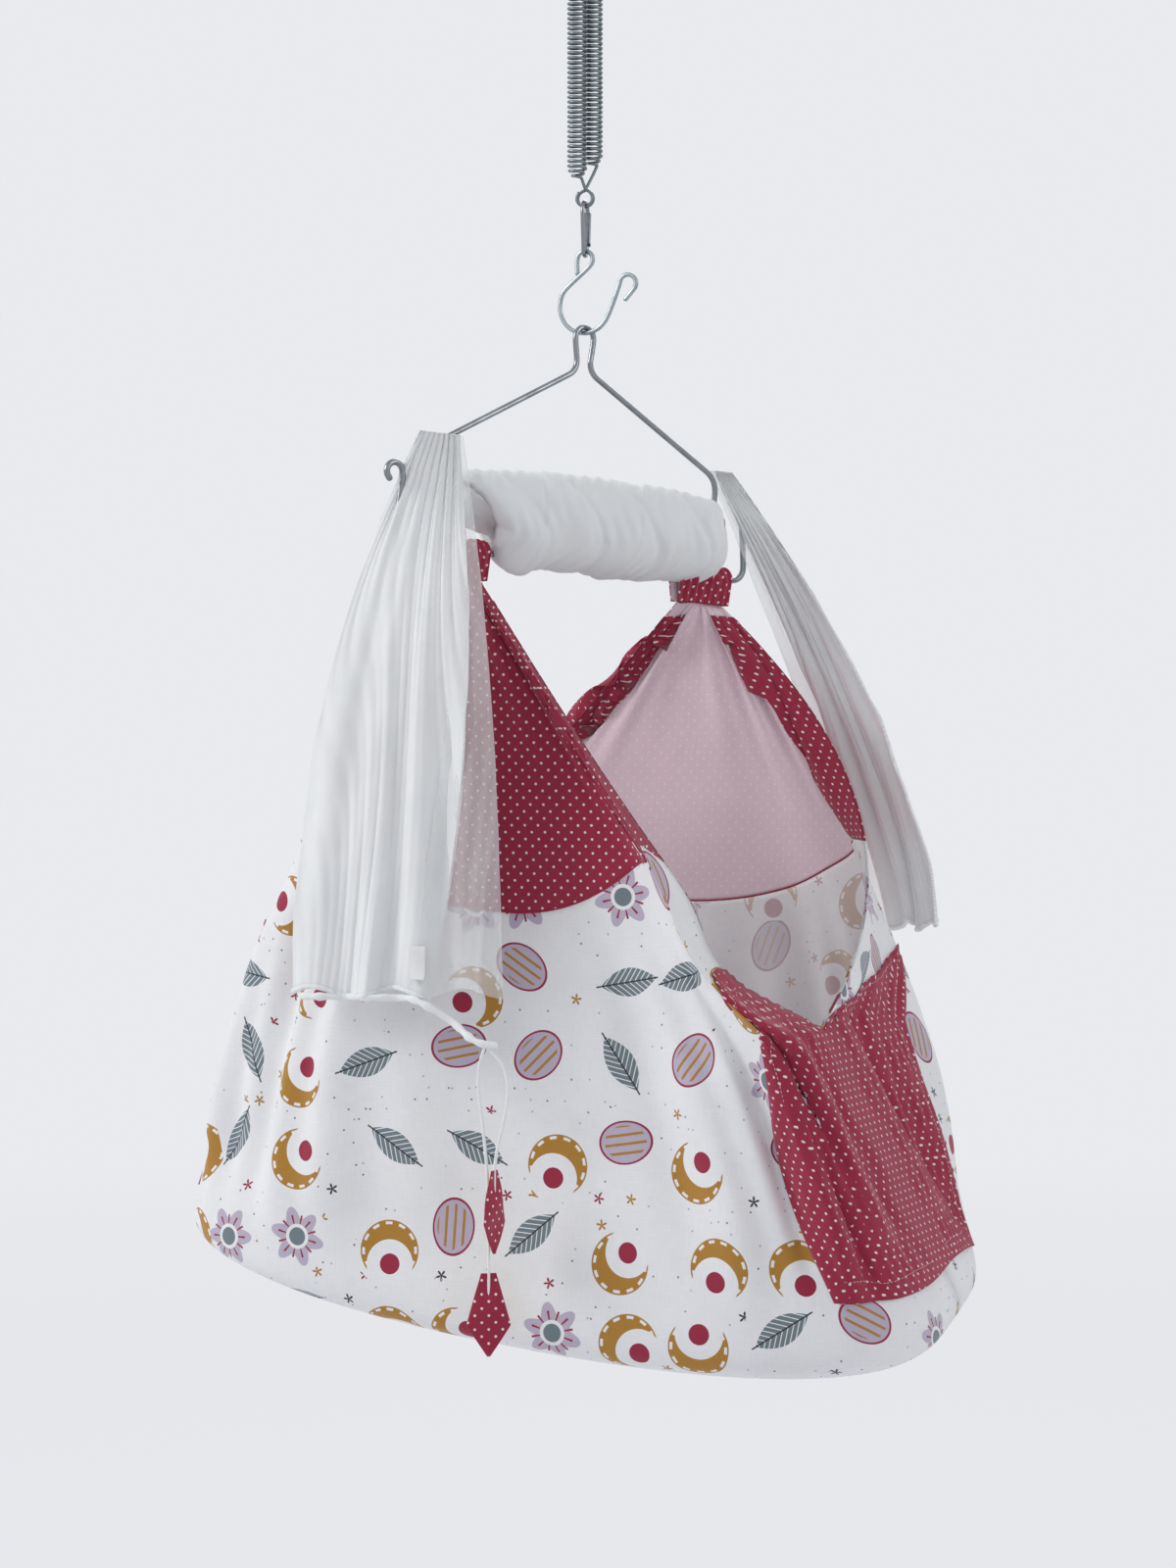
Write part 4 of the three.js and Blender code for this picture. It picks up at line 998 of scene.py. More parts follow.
def make_wires():
    """The ring, the springs, the snap hook, the open hook, the hanger and the rod."""
    side = unit(ring_line() - [0, 0, -ring_bore / 2])
    normal = np.array([-np.sin(snap_turn), np.cos(snap_turn), 0])
    angle = around(16)
    spokes = side[:, None] * np.cos(angle)[:, None] + normal * np.sin(angle)[:, None]
    ring = ring_line()[:, None] + spokes * ring_wire / 2
    ring = np.concatenate([ring, ring[:1]])
    piece = grid_piece("upper_ring_wire", ring, cloth_uv(ring), wrap=True)
    merge_close(piece, 0.01 * mm)
    finish_piece(piece, "suspension", "zinc_wire", "upper_ring", materials=[materials["zinc_wire"]])
    for name, place, shank in (("near", -1, long_shank), ("far", 1, short_shank)):
        piece = tube_piece(f"spring_{name}_wire", spring_line(place, shank), spring_wire / 2, 8)
        finish_piece(piece, None, "zinc_wire", f"spring_{name}", materials=[materials["spring_wire"]])
        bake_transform(piece)
    for name, line, wire, body, slot, node in (
        ("snap_hook_wire", snap_line(), snap_wire, "snap", "chrome_wire", "snap_hook_body"),
        ("open_hook_wire", hook_line(), hook_wire, "hook", "zinc_wire", "open_hook"),
        ("hanger_bent_wire", hanger_line(), hanger_wire, "cradle", "chrome_wire", "hanger"),
        ("spreader_rod_wire", rod_line(), rod_wire, "cradle", "chrome_wire", "spreader_rod"),
    ):
        piece = tube_piece(name, evenly(line, 1.2 * mm), wire / 2, 16)
        finish_piece(piece, body, slot, node, materials=[materials[slot]])
    for node in ("snap_hook_gate", "snap_hook_rivet"):
        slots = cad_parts[node].data.materials
        if len(slots):
            slots[0] = materials["chrome_wire"]
        else:
            slots.append(materials["chrome_wire"])


def merge_close(piece, distance, recalculate=True):
    """Joins points that lie within a distance of each other, and can turn the faces out."""
    work = bmesh.new()
    work.from_mesh(piece.data)
    bmesh.ops.remove_doubles(work, verts=work.verts, dist=distance)
    if recalculate:
        bmesh.ops.recalc_face_normals(work, faces=work.faces)
    work.to_mesh(piece.data)
    work.free()


# Pieces of cotton

# The sizes that the sheets are cut to, in length and width
panel_thick = 1.2 * mm
seam_lap_share = 0.0005
seam_from_share = 0.004
yoke_head_share = 1.006
gather_depths = (3.4 * mm, 1.6 * mm)
hanging_depths = (8.5 * mm, 4.2 * mm)
soft_depth = 1.8 * mm
floor_wave = 1.5 * mm
seam_radius = 1.1 * mm
# The hems of the open edges: their width, and how far they stand off the cloth, by side and end
hem_wide = 46 * mm
fold_radius = 1.1 * mm
fold_thick = 0.7 * mm
hem_lap = 2 * mm
hem_head_share = 0.985
hem_foot_share = 0.01
hem_stand = {(1, 0): 3 * mm, (1, 1): 3 * mm, (-1, 0): 24 * mm, (-1, 1): 12 * mm}
flat_reach_shares = (0.2, 0.2)
under_rim = 48 * mm


def surface_normals(points):
    """The direction square to a grid at each of its points."""
    rows = np.gradient(points, axis=0)
    columns = np.gradient(points, axis=1)
    return unit(np.cross(columns, rows))


def pulled_flat(side, share, height):
    """A fan whose cloth is pulled straight beside its open edges: each point moves towards a chord there."""
    point = fan_point(side, share, height)
    for end, near in ((0, share), (1, 1 - share)):
        reach = flat_reach_shares[end]
        edge = fan_point(side, np.full_like(share, float(end)), height)
        anchor = fan_point(side, np.full_like(share, abs(end - reach)), height)
        span = np.linalg.norm(anchor - edge, axis=-1)
        along = np.clip(np.linalg.norm(point - edge, axis=-1) / span, 0, 1)[..., None]
        held = smooth((height - 0.4) / 0.18) * (1 - smooth((near / reach - 0.6) / 0.4))
        point = lerp(point, lerp(edge, anchor, along), held[..., None])
    return point


def cloth_fan(side, share, height):
    """A fan in detail: its broad shape, gathers under the sleeve, hanging folds and soft wrinkles."""
    share, height = np.broadcast_arrays(np.asarray(share, float), np.asarray(height, float))
    point = pulled_flat(side, share, height)
    inner = np.clip(np.minimum(share, 1 - share) / 0.06, 0, 1)
    head = smooth((height - 0.62) / 0.38) * (1 - 0.6 * smooth((height - 0.9) / 0.1))
    gather = head * (
        gather_depths[0] * np.cos(2 * np.pi * 8 * share + 1.3 * side + 2 * height)
        + gather_depths[1] * np.cos(2 * np.pi * 17 * share + 3 * height)
    )
    low = smooth((height - 0.03) / 0.16) * (1 - smooth((height - 0.34) / 0.26))
    hanging = low * (
        hanging_depths[0] * np.cos(2 * np.pi * (6.3 * share + 0.5 * np.sin(5 * share)) + 5 * height)
        + hanging_depths[1] * np.cos(2 * np.pi * (13.7 * share + 0.3 * np.cos(9 * share)) - 4 * height)
    )
    across, up = 2 * np.pi * (3.1 * share + 1.7 * height) + side, 2 * np.pi * 2.3 * height
    soft = soft_depth * np.sin(across) * np.sin(up)
    out = unit(stack(point[..., 0] / sling_length, point[..., 1] / sling_width, 0))
    return point + out * ((gather + hanging + soft * smooth(height / 0.1)) * inner)[..., None]


def rim_rings(inset, columns=120):
    """X and Y of closed rings round the floor, each at its own distance in from the rim."""
    share = np.broadcast_to(np.linspace(0, 1, columns + 1)[:-1], (len(inset), columns))
    halves = [rim_place(side, share, inset) for side in (1, -1)]
    return [np.concatenate([half[axis] for half in halves], axis=1) for axis in (0, 1)]


def floor_lift(inset):
    """How far the floor's cloth lies under its rim's height, at a distance in from the rim."""
    deep = edge_round / 2 * smooth(inset / edge_round)
    middle = smooth((inset - sling_width / 4) / (sling_width / 4))
    return lerp(deep, cloth_thick, middle)


def round_rows(points, low, high, passes):
    """Rows of a grid from low to high made rounder: each moves to the mean of itself and its neighbours."""
    for _ in range(passes):
        mean = (points[low - 1 : high - 1] + 2 * points[low:high] + points[low + 1 : high + 1]) / 4
        points = np.concatenate([points[:low], mean, points[high:]])
    return points


def fan_uv(points):
    """A map that hangs plumb: level distances from the middle of each row, and heights."""
    across = lengths_along(points[..., :2], 1)
    across = across - across[:, points.shape[1] // 2][:, None]
    return np.stack([across, points[..., 2]], axis=-1)


def panel_points(side, columns=180, rows=64):
    """A printed panel: a strip that turns in under the floor's rim, and the fan up to the seam."""
    share = np.linspace(0, 1, columns)[None, :]
    inset = np.linspace(under_rim, 0, 14)[:-1, None]
    x, y = rim_place(side, np.broadcast_to(share, (13, columns)), inset)
    under = stack(x, y, floor_height(x, y) - floor_lift(inset))
    height = np.linspace(0, 1, rows)[:, None] * (seam_height(side, share) + seam_lap_share)
    up = cloth_fan(side, np.broadcast_to(share, (rows, columns)), height)
    points = round_rows(np.concatenate([under, up]), 8, 18, 14)
    turned_in = lengths_along(points, 0)[:13] - lengths_along(points, 0)[13]
    uv = fan_uv(points)
    uv[:13, :, 1] = uv[13, :, 1] + turned_in
    return points, uv


def two_faced(front, back):
    """The materials of a cloth's front and of its back."""
    return [materials[front], materials[back]]


def solid_cloth(piece, thick, back_slot=1):
    """Gives a sheet its thickness to both sides, with the other material on its back."""
    add_modifier(
        piece, "SOLIDIFY", "thickness", thickness=thick, offset=0.0, material_offset=back_slot,
        use_quality_normals=True, use_rim=True,
    )


def make_panels(settings):
    """The two printed panels, the two yokes and the seams between them."""
    print_faces = two_faced("printed_cotton", "print_reverse")
    dot_faces = two_faced("crimson_dots", "crimson_reverse")
    for name, side in (("near", 1), ("far", -1)):
        points, uv = panel_points(side)
        panel = grid_piece(f"side_cloth_{name}", points, uv, flip=True)
        solid_cloth(panel, settings.cloth_thickness)
        finish_piece(panel, "cradle", "printed_cotton", f"side_panel_{name}", materials=print_faces)
        share, rise = np.meshgrid(np.linspace(0, 1, 200), np.linspace(0, 1, 80))
        seam = seam_height(side, share)
        points = cloth_fan(side, share, lerp(seam - seam_lap_share, yoke_head_share, rise))
        yoke = grid_piece(f"yoke_cloth_{name}", points, fan_uv(points), flip=True)
        solid_cloth(yoke, settings.cloth_thickness)
        finish_piece(yoke, "cradle", "crimson_dots", f"yoke_{name}", materials=dot_faces)
        along = np.linspace(seam_from_share, 1 - seam_from_share, 240)
        line = cloth_fan(side, along, seam_height(side, along))
        seam = tube_piece(f"yoke_seam_{name}", line, seam_radius, 8)
        finish_piece(seam, "cradle", "crimson_dots", materials=[materials["crimson_dots"]])


def from_edge(side, end, distance, height):
    """Places at real distances from an open edge of a fan, in rows of one height share."""
    near = np.linspace(0, 0.34, 160)
    share = near if end == 0 else 1 - near
    rows = cloth_fan(side, share[None, :], height[:, None])
    along = lengths_along(rows, 1)
    points = np.stack(
        [[np.interp(distance, arcs, row[:, k]) for k in range(3)] for arcs, row in zip(along, rows)]
    )
    points = np.moveaxis(points, 1, -1)
    beyond = np.clip(-distance, 0, None)[None, :, None]
    outward = unit(rows[:, :1] - rows[:, 6:7])
    return points + outward * beyond


def make_edge_hems():
    """Hems along the open edges: the cloth folds over the edge and lies on the fan's inside."""
    wrap = np.linspace(0, np.pi, 7)
    distance = np.concatenate([[hem_lap], -fold_radius * np.sin(wrap), np.linspace(hem_lap, hem_wide, 14)])
    offset = np.concatenate([[fold_radius], fold_radius * np.cos(wrap), np.full(14, -fold_radius)])
    flap = np.clip(distance / hem_wide, 0, 1)
    for side, name in ((1, "near"), (-1, "far")):
        for end in (0, 1):
            place = "right" if (side > 0) == (end == 0) else "left"
            seam = float(seam_height(side, end))
            kinds = (
                ("yoke_hem", (seam, hem_head_share), "crimson_dots", 70),
                ("panel_hem", (notch_height_share + hem_foot_share, seam), "printed_cotton", 50),
            )
            for kind, (low, high), slot, rows in kinds:
                height = np.linspace(low, high, rows)
                points = from_edge(side, end, distance, height)
                apart = np.abs(distance) + np.linspace(0, 0.1 * mm, len(distance))
                flat = from_edge(side, end, apart, height)
                normal = surface_normals(flat) * (-1 if end == 0 else 1)
                rise = np.clip((height - low) / (high - low), 0, 1)
                stand = hem_stand[side, end] * np.sin(np.pi * rise) ** 0.6 * (kind == "yoke_hem")
                points = points + normal * (offset[None, :] - stand[:, None] * flap)[..., None]
                if end == 1:
                    points = points[:, ::-1]
                hem = grid_piece(f"{kind}_{name}_{place}", points, fan_uv(points))
                solid_cloth(hem, fold_thick, 0)
                finish_piece(hem, "cradle", slot, materials=[materials[slot]])


def make_floor(settings):
    """The sling's floor, in rings that shrink from the turned-in rim to the middle."""
    rims = np.linspace(under_rim, 97.5 * mm, 8), np.linspace(105 * mm, 194 * mm, 12)
    inset = np.concatenate(rims)[:, None]
    x, y = rim_rings(inset)
    soft = floor_wave * np.sin(x * 31 + 1) * np.sin(y * 43)
    points = stack(x, y, floor_height(x, y) - floor_lift(inset) + soft)
    uv = np.stack([x, y], axis=-1)
    floor = grid_piece("floor_cloth", points, uv, wrap=True, flip=True)
    merge_close(floor, 0.5 * mm)
    solid_cloth(floor, settings.cloth_thickness)
    faces = two_faced("printed_cotton", "print_reverse")
    finish_piece(floor, "cradle", "printed_cotton", "sling_floor", materials=faces)


# The end patches: crimson cloth sewn over each open end, with its top edge along the notch
patch_off = 2.7 * mm
patch_thick = 1.1 * mm
patch_ripple = 0.9 * mm
patch_fold = 4 * mm
# How far the patch's seam reaches up past the notch
patch_notch_share = 0.02
# Corners of a patch's halves, as shares across and up a fan: at the seam, at its outer foot and head
nearer_half_shares = ((0.0, 0.058), (0.267, 0.085), (0.0, corner_height_share))
farther_half_shares = ((0.0, 0.058), (0.1, 0.04), (0.18, 0.478))
# How far the nearer half's outer edge bows away from the open end, so that it looks straight
nearer_bow_share = 0.025


def patch_half(end_side, side):
    """Half of an end patch, on one fan: a four-cornered field in the fan's own shares, moved out a little."""
    end = 0 if end_side == side else 1
    corners = nearer_half_shares if end == 0 else farther_half_shares
    seam_foot, outer_foot, outer_head = (np.array([abs(end - across), up]) for across, up in corners)
    seam_head = np.array([float(end), notch_height_share + patch_notch_share])
    s = np.linspace(0, 1, 64)[None, :, None]
    t = np.linspace(0, 1, 90)[:, None, None]
    field = (1 - t) * ((1 - s) * seam_foot + s * outer_foot) + t * ((1 - s) * seam_head + s * outer_head)
    field = field + [0, 0.004] * np.sin(9 * s) * np.sin(3 * np.pi * t)
    if end == 0:
        bow = outer_foot[0] * (t - t**3) + nearer_bow_share * np.sin(np.pi * t)
        field = field + [1, 0] * s * bow
    points = cloth_fan(side, field[..., 0], field[..., 1])
    normal = surface_normals(points)
    out = unit(stack(points[..., 0], points[..., 1], 0))
    normal = normal * np.sign(np.sum(normal * out, axis=-1, keepdims=True))
    ripple = patch_ripple * np.sin(60 * s[..., 0]) * np.sin(17 * t[..., 0])
    fold = patch_fold * np.exp(-(((s[..., 0] - 0.55) / 0.06) ** 2)) * np.sin(np.pi * t[..., 0])
    return points + normal * (patch_off + ripple + fold)[..., None]


def make_patches():
    """The two end patches, each a grid over both fans with a V where they part, and their stitching."""
    for name, end_side in (("right", 1), ("left", -1)):
        near, far = patch_half(end_side, end_side), patch_half(end_side, -end_side)
        pieces = []
        for points, flip in ((near, end_side > 0), (far, end_side < 0)):
            across = lengths_along(points[..., :2], 1) * (1 if flip else -1)
            uv = np.stack([across, points[..., 2]], axis=-1)
            pieces.append((points, uv, flip))
        both = [
            grid_piece(f"half_{k}", points, uv, flip=not flip)
            for k, (points, uv, flip) in enumerate(pieces)
        ]
        patch = join_pieces(f"end_patch_cloth_{name}", both)
        merge_close(patch, 2.5 * mm)
        point_outward(patch)
        solid_cloth(patch, patch_thick)
        faces = two_faced("crimson_dots", "crimson_reverse")
        finish_piece(patch, "cradle", "crimson_dots", f"end_patch_{name}", materials=faces)
        lines = []
        for points in (near, far):
            inside = 7
            lines.append(points[inside:-4, -inside])
            lines.append(points[inside - 2, 2:-inside])
            lines.append(points[-4, 6:-inside])
        threads = stitches(f"patch_stitch_{name}", lines, lift=0.75 * mm)
        finish_piece(threads, "cradle", "crimson_dots", materials=[materials["top_stitch"]])


def join_pieces(name, pieces):
    """One mesh from several, with their maps."""
    work = bmesh.new()
    for piece in pieces:
        work.from_mesh(piece.data)
    joined = bpy.data.objects.new(name, bpy.data.meshes.new(name))
    work.to_mesh(joined.data)
    work.free()
    bpy.context.scene.collection.objects.link(joined)
    joined.data.polygons.foreach_set("use_smooth", np.ones(len(joined.data.polygons), dtype=bool))
    for piece in pieces:
        bpy.data.objects.remove(piece)
    return joined


def point_outward(piece):
    """Turns all faces round if most of them look towards the plumb line."""
    count = len(piece.data.polygons)
    centres, normals = np.empty(count * 3), np.empty(count * 3)
    piece.data.polygons.foreach_get("center", centres)
    piece.data.polygons.foreach_get("normal", normals)
    centres, normals = centres.reshape(-1, 3), normals.reshape(-1, 3)
    if np.sum(centres[:, :2] * normals[:, :2]) < 0:
        piece.data.flip_normals()


def stitches(name, lines, long=2.8 * mm, apart=1.3 * mm, radius=0.28 * mm, lift=0.0):
    """Top-stitching: short rounded dashes along lines, each a tube of six sides in five rings."""
    all_points, all_faces, count = [], [], 0
    rings, sides = 5, 6
    angle = around(sides)
    share = np.linspace(-0.5, 0.5, rings)
    width = np.array([0.35, 0.9, 1.0, 0.9, 0.35])
    template = grid_faces(rings, sides, wrap=True)
    for line in lines:
        even = evenly(line, (long + apart) / 4)
        stations = even[2::4]
        ahead = unit(np.gradient(even, axis=0))[2::4]
        out = unit(stack(stations[:, 0], stations[:, 1], 0))
        across = unit(np.cross(ahead, out))
        up = np.cross(across, ahead)
        centre = stations + out * lift
        ring = (
            centre[:, None, None]
            + ahead[:, None, None] * (share * long)[None, :, None, None]
            + across[:, None, None] * (radius * width[:, None] * np.cos(angle))[None, ..., None]
            + up[:, None, None] * (radius * width[:, None] * np.sin(angle))[None, ..., None]
        )
        each = rings * sides
        faces = template[None] + count + each * np.arange(len(stations))[:, None, None]
        all_points.append(ring.reshape(-1, 3))
        all_faces.append(faces.reshape(-1, 4))
        count += each * len(stations)
    points = np.concatenate(all_points)
    return put_mesh(name, points, np.concatenate(all_faces), points[:, [0, 2]])


def make_sleeves():
    """The rod sleeves: each yoke's head, wrapped round the rod in a drop-shaped hem with gathers."""
    for name, start, end in (("near", -sleeve_to, -sleeve_from), ("far", far_sleeve_from, far_sleeve_to)):
        t = np.linspace(0, 1, 60)[:, None]
        along = lerp(start, end, t)
        angle = np.linspace(-0.12 * np.pi, 1.12 * np.pi, 40)[None, :]
        turns = 2 * np.pi * sleeve_gathers * t
        gather = sleeve_gather_depth * np.cos(turns + 2 * np.sin(angle)) + sleeve_wave * np.cos(40 * t)
        radius = sleeve_radius + gather - sleeve_end_pinch * np.cos(np.pi * 2 * t) ** 8
        drum = [radius * np.cos(angle), radius * np.sin(angle)]
        down = np.linspace(0, 1, 10)[1:][None, :]
        tail = tail_half_wide + tail_wave * np.cos(turns)
        left = [lerp(drum[0][:, -1:], -tail, down), lerp(drum[1][:, -1:], -sleeve_tail, down)]
        right = [lerp(drum[0][:, :1], tail, down), lerp(drum[1][:, :1], -sleeve_tail, down)]
        aside, above = (
            np.concatenate([drum[k], left[k], right[k][:, ::-1]], axis=1) for k in (0, 1)
        )
        points = on_spreader(along, aside, rod_drop - above)
        piece = grid_piece(f"sleeve_cloth_{name}", points, cloth_uv(points), wrap=True)
        merge_close(piece, 0.01 * mm, recalculate=False)
        add_modifier(piece, "SOLIDIFY", "thickness", thickness=sleeve_thick, offset=-1.0, material_offset=1)
        faces = two_faced("crimson_dots", "crimson_reverse")
        finish_piece(piece, "cradle", "crimson_dots", f"rod_sleeve_{name}", materials=faces)


quilt_depth = 1.6 * mm
quilt_pitch = 90 * mm
pad_wave = 0.8 * mm
pad_inset = 34 * mm
# The pad's outline from under its edge to its middle, in millimetres: how far in and how high
pad_profile = (
    (88, -11.5),
    (60, -11.5),
    (34, -11),
    (17, -8),
    (5, -1.5),
    (0.5, 5),
    (1.5, 11),
    (8, 17.5),
    (20, 21.5),
    (40, 24.5),
    (70, 27),
    (97.5, 29),
)


def make_pad():
    """The mattress pad: a crowned cushion with a rounded edge, and soft quilting on top."""
    line = evenly(np.array([(*place, 0) for place in pad_profile]) * mm, 4 * mm)
    inset, over = pad_inset + line[:, :1], line[:, 1:2]
    x, y = rim_rings(inset)
    quilt = quilt_depth * np.cos(x * 2 * np.pi / quilt_pitch) * np.cos(y * 2 * np.pi / quilt_pitch)
    quilt = quilt * smooth((over - 12 * mm) / (9 * mm))
    uneven = pad_wave * np.sin(x * 60) * np.sin(y * 53)
    z = floor_height(x, y) - edge_round / 2 + cloth_thick + over + quilt + uneven
    points = stack(x, y, np.maximum(z, floor_height(x, y) - floor_lift(inset) + 1.6 * mm))
    pad = grid_piece("mattress_cushion", points, np.stack([x, y + over], axis=-1), wrap=True)
    merge_close(pad, 0.3 * mm)
    close_holes(pad)
    pad.data.materials.append(materials["white_cotton"])
    add_modifier(pad, "SUBSURF", "finer", levels=1, render_levels=1)
    finish_piece(pad, "cradle", "printed_cotton", "mattress_pad")


def close_holes(piece):
    """Fills a mesh's open rims, and turns its faces out."""
    work = bmesh.new()
    work.from_mesh(piece.data)
    bmesh.ops.holes_fill(work, edges=[edge for edge in work.edges if edge.is_boundary], sides=0)
    bmesh.ops.triangulate(work, faces=[face for face in work.faces if len(face.verts) > 4])
    bmesh.ops.recalc_face_normals(work, faces=work.faces)
    work.to_mesh(piece.data)
    work.free()


# The net: a roll round the rod, a drape at each end, the drawn hem and its cords
roll_from = -100 * mm
roll_to = 168 * mm
roll_up = 36 * mm
roll_high = 47 * mm
roll_deep = 33 * mm
roll_end_share = 0.8
roll_slant = 34 * mm
roll_lap = 2.6 * mm
roll_wave = 3.2 * mm
roll_crease = 4.2 * mm
roll_wrinkle = 0.8 * mm
roll_tight = 1.5 * mm
roll_flop = 12 * mm
roll_rounding_share = 0.35
# The rings that close the roll's ends, as shares of its width there, and how far they dip in and out
end_ring_shares = (0.82, 0.6, 0.56, 0.36, 0.32, 0.12)
end_ring_dip = 2.4 * mm
net_thick = 5 * mm
drape_top = 118 * mm
# By side: where a drape's outer and inner edge lie on the spreader, and how early each spreads below it
drape_heads = {1: (186 * mm, 138 * mm), -1: (188 * mm, 160 * mm)}
drape_spreads = {1: (2.1, 2.1), -1: (1.6, 1.1)}
drape_folds = 4
fold_crest_share = 0.625
drape_fold_depth = 6 * mm
# A drape's foot: its two corners seen from above, and how far down it lies
near_hem = ((-205 * mm, -222 * mm), (-5 * mm, -226 * mm), 992 * mm)
far_hem = ((305 * mm, 152 * mm), (232 * mm, 206 * mm), 940 * mm)
hem_thick = 8 * mm
hem_droop = 40 * mm
hem_beyond = 6 * mm
hem_swell = 0.7 * mm


def make_roll():
    """The net roll: an oval carried along the rod, with the edges of its slanting turns and soft wrinkles."""
    t = np.linspace(0, 1, 150)[:, None]
    angle = around(150)[None, :]
    swell = lerp(roll_end_share, 1, np.sin(np.pi * np.clip(t, 0.0001, 0.9999)) ** 0.6)
    slant = np.mod(angle / (2 * np.pi) + 2.6 * t, 1)
    overlap = roll_lap * (1 - slant) * smooth(slant / 0.035)
    wave = roll_wave * np.sin(9 * t * np.pi + 2.2 * np.sin(angle + 4 * t))
    wave = wave * (0.6 + 0.4 * np.sin(angle * 2 + 1))
    crease = -roll_crease * np.exp(-((np.mod(4.3 * t + 0.35 * np.sin(angle + 1), 1) - 0.5) / 0.07) ** 2)
    fine = roll_wrinkle * np.sin(37 * t * np.pi + 5 * angle + 3 * np.sin(3 * angle))
    fine = fine * np.sin(2 * angle + 9 * t)
    grown = overlap + wave + fine + crease * np.sin(np.pi * t) - roll_tight
    flop = roll_flop * np.exp(-(((t - 0.08) / 0.09) ** 2)) * np.exp(-(((angle - 1.45 * np.pi) / 0.55) ** 2))
    rounded = 1 - roll_rounding_share * (np.exp(-t / 0.012) + np.exp(-(1 - t) / 0.012))
    aside = (roll_deep * swell + grown) * rounded * np.cos(angle)
    above = roll_up + (roll_high * swell + grown + flop) * rounded * np.sin(angle)
    reach_out = roll_slant * np.clip(0.3 + 0.7 * np.sin(angle), 0, 1)
    along = lerp(roll_from - reach_out, roll_to, t) + 2 * mm * np.sin(3 * angle) * np.cos(np.pi * t)
    points = on_spreader(along, aside, rod_drop - above)
    rings = []
    for index, way in ((0, -1), (-1, 1)):
        for k, share in enumerate(end_ring_shares):
            width = share / (1 - roll_rounding_share)
            dip = (-1) ** k * end_ring_dip
            ring_along = (roll_from - reach_out[0] if way < 0 else roll_to) - way * (3 * mm + dip)
            down = rod_drop - lerp(roll_up * 0.4, above[index], width)
            rings.append(on_spreader(ring_along, aside[index] * width, down))
    head, tail = np.stack(rings[:6][::-1]), np.stack(rings[6:])
    points = np.concatenate([head, points, tail])
    roll = grid_piece("net_roll_cloth", points, cloth_uv(points), wrap=True)
    merge_close(roll, 0.01 * mm)
    close_holes(roll)
    finish_piece(roll, "cradle", "net_mesh", "net_roll", materials=[materials["net_roll_cloth"]])


def drape_point(side, hem, share, down):
    """A drape's surface: gathered at the top, it spreads early and falls to its hem in broad folds."""
    share, down = np.broadcast_arrays(np.asarray(share, float), np.asarray(down, float))
    aside = -side * (hanger_wire / 2 + thread_gap + net_thick / 2)
    outer, inner = drape_heads[side]
    top = on_spreader(-side * lerp(outer, inner, share), aside, drape_top)
    left, right, drop = hem
    spread = 1 - (1 - down) ** lerp(*drape_spreads[side], share)
    x = lerp(top[..., 0], lerp(left[0], right[0], share), spread)
    y = lerp(top[..., 1], lerp(left[1], right[1], share), spread)
    across = unit(np.array([right[1] - left[1], left[0] - right[0], 0]))
    fold = 0.75 * drape_fold_depth * down * np.cos(2 * np.pi * drape_folds * (share - fold_crest_share))
    return stack(x, y, lerp(top[..., 2], -drop, down)) + across * fold[..., None]


# Depths of the net's folds, from the gathers at its head to the wave of its foot
net_gather_depth = 1.7 * mm
net_fold_depth = 3.6 * mm
net_small_fold_depth = 0.9 * mm
net_wrinkle_depth = 0.35 * mm
net_bulge_depth = 7 * mm
net_foot_wave = 5 * mm
net_edge_radius = 2.8 * mm


def net_surface(side, hem, share, down, layer=0.0):
    """A drape in detail: gathers that fade downwards, finer folds, and a hem that isn't straight."""
    share, down = np.broadcast_arrays(np.asarray(share, float), np.asarray(down, float))
    point = drape_point(side, hem, share, down)
    left, right, _ = hem
    across = unit(np.array([right[1] - left[1], left[0] - right[0], 0]))
    gather = net_gather_depth * np.exp(-down * 5) * np.cos(2 * np.pi * 9 * share + layer)
    warp = share + 0.07 * np.sin(8 * share + 4 * down) + 0.09 * np.sin(5 * down + 2 * share + layer)
    uneven = 0.6 + 0.4 * np.sin(2 * np.pi * 1.4 * share + 3.5 * down + layer)
    fold = net_fold_depth * uneven * smooth(down / 0.8) * np.cos(2 * np.pi * 4.3 * warp + 2 * layer)
    second = net_small_fold_depth * smooth(down / 0.4) * np.sin(7 * share + 2)
    second = second * np.cos(2 * np.pi * 9.7 * warp - 4 * down)
    fine = net_wrinkle_depth * np.cos(2 * np.pi * 21 * warp + 5 * down + layer)
    bulge = net_bulge_depth * np.sin(np.pi * share) * np.sin(np.pi * down)
    lift = bulge - (fold + second + gather + fine)
    point = point + across * lift[..., None]
    point[..., 2] += net_foot_wave * smooth((down - 0.8) / 0.2) * np.sin(2 * np.pi * 2.5 * share + layer)
    return point


# How far the border between the folded net and its single layer bows out, half way down
border_bulge_share = 0.09
# Where that border lies across a drape at its head and at its foot, and what the drapes are cut to
border_shares = {1: (0.9, 0.66), -1: (0.75, 0.8)}
drape_cuts = {1: (300 * mm, 530 * mm), -1: (140 * mm, 500 * mm)}
drape_thick = 3 * mm
veil_lap_share = 0.12


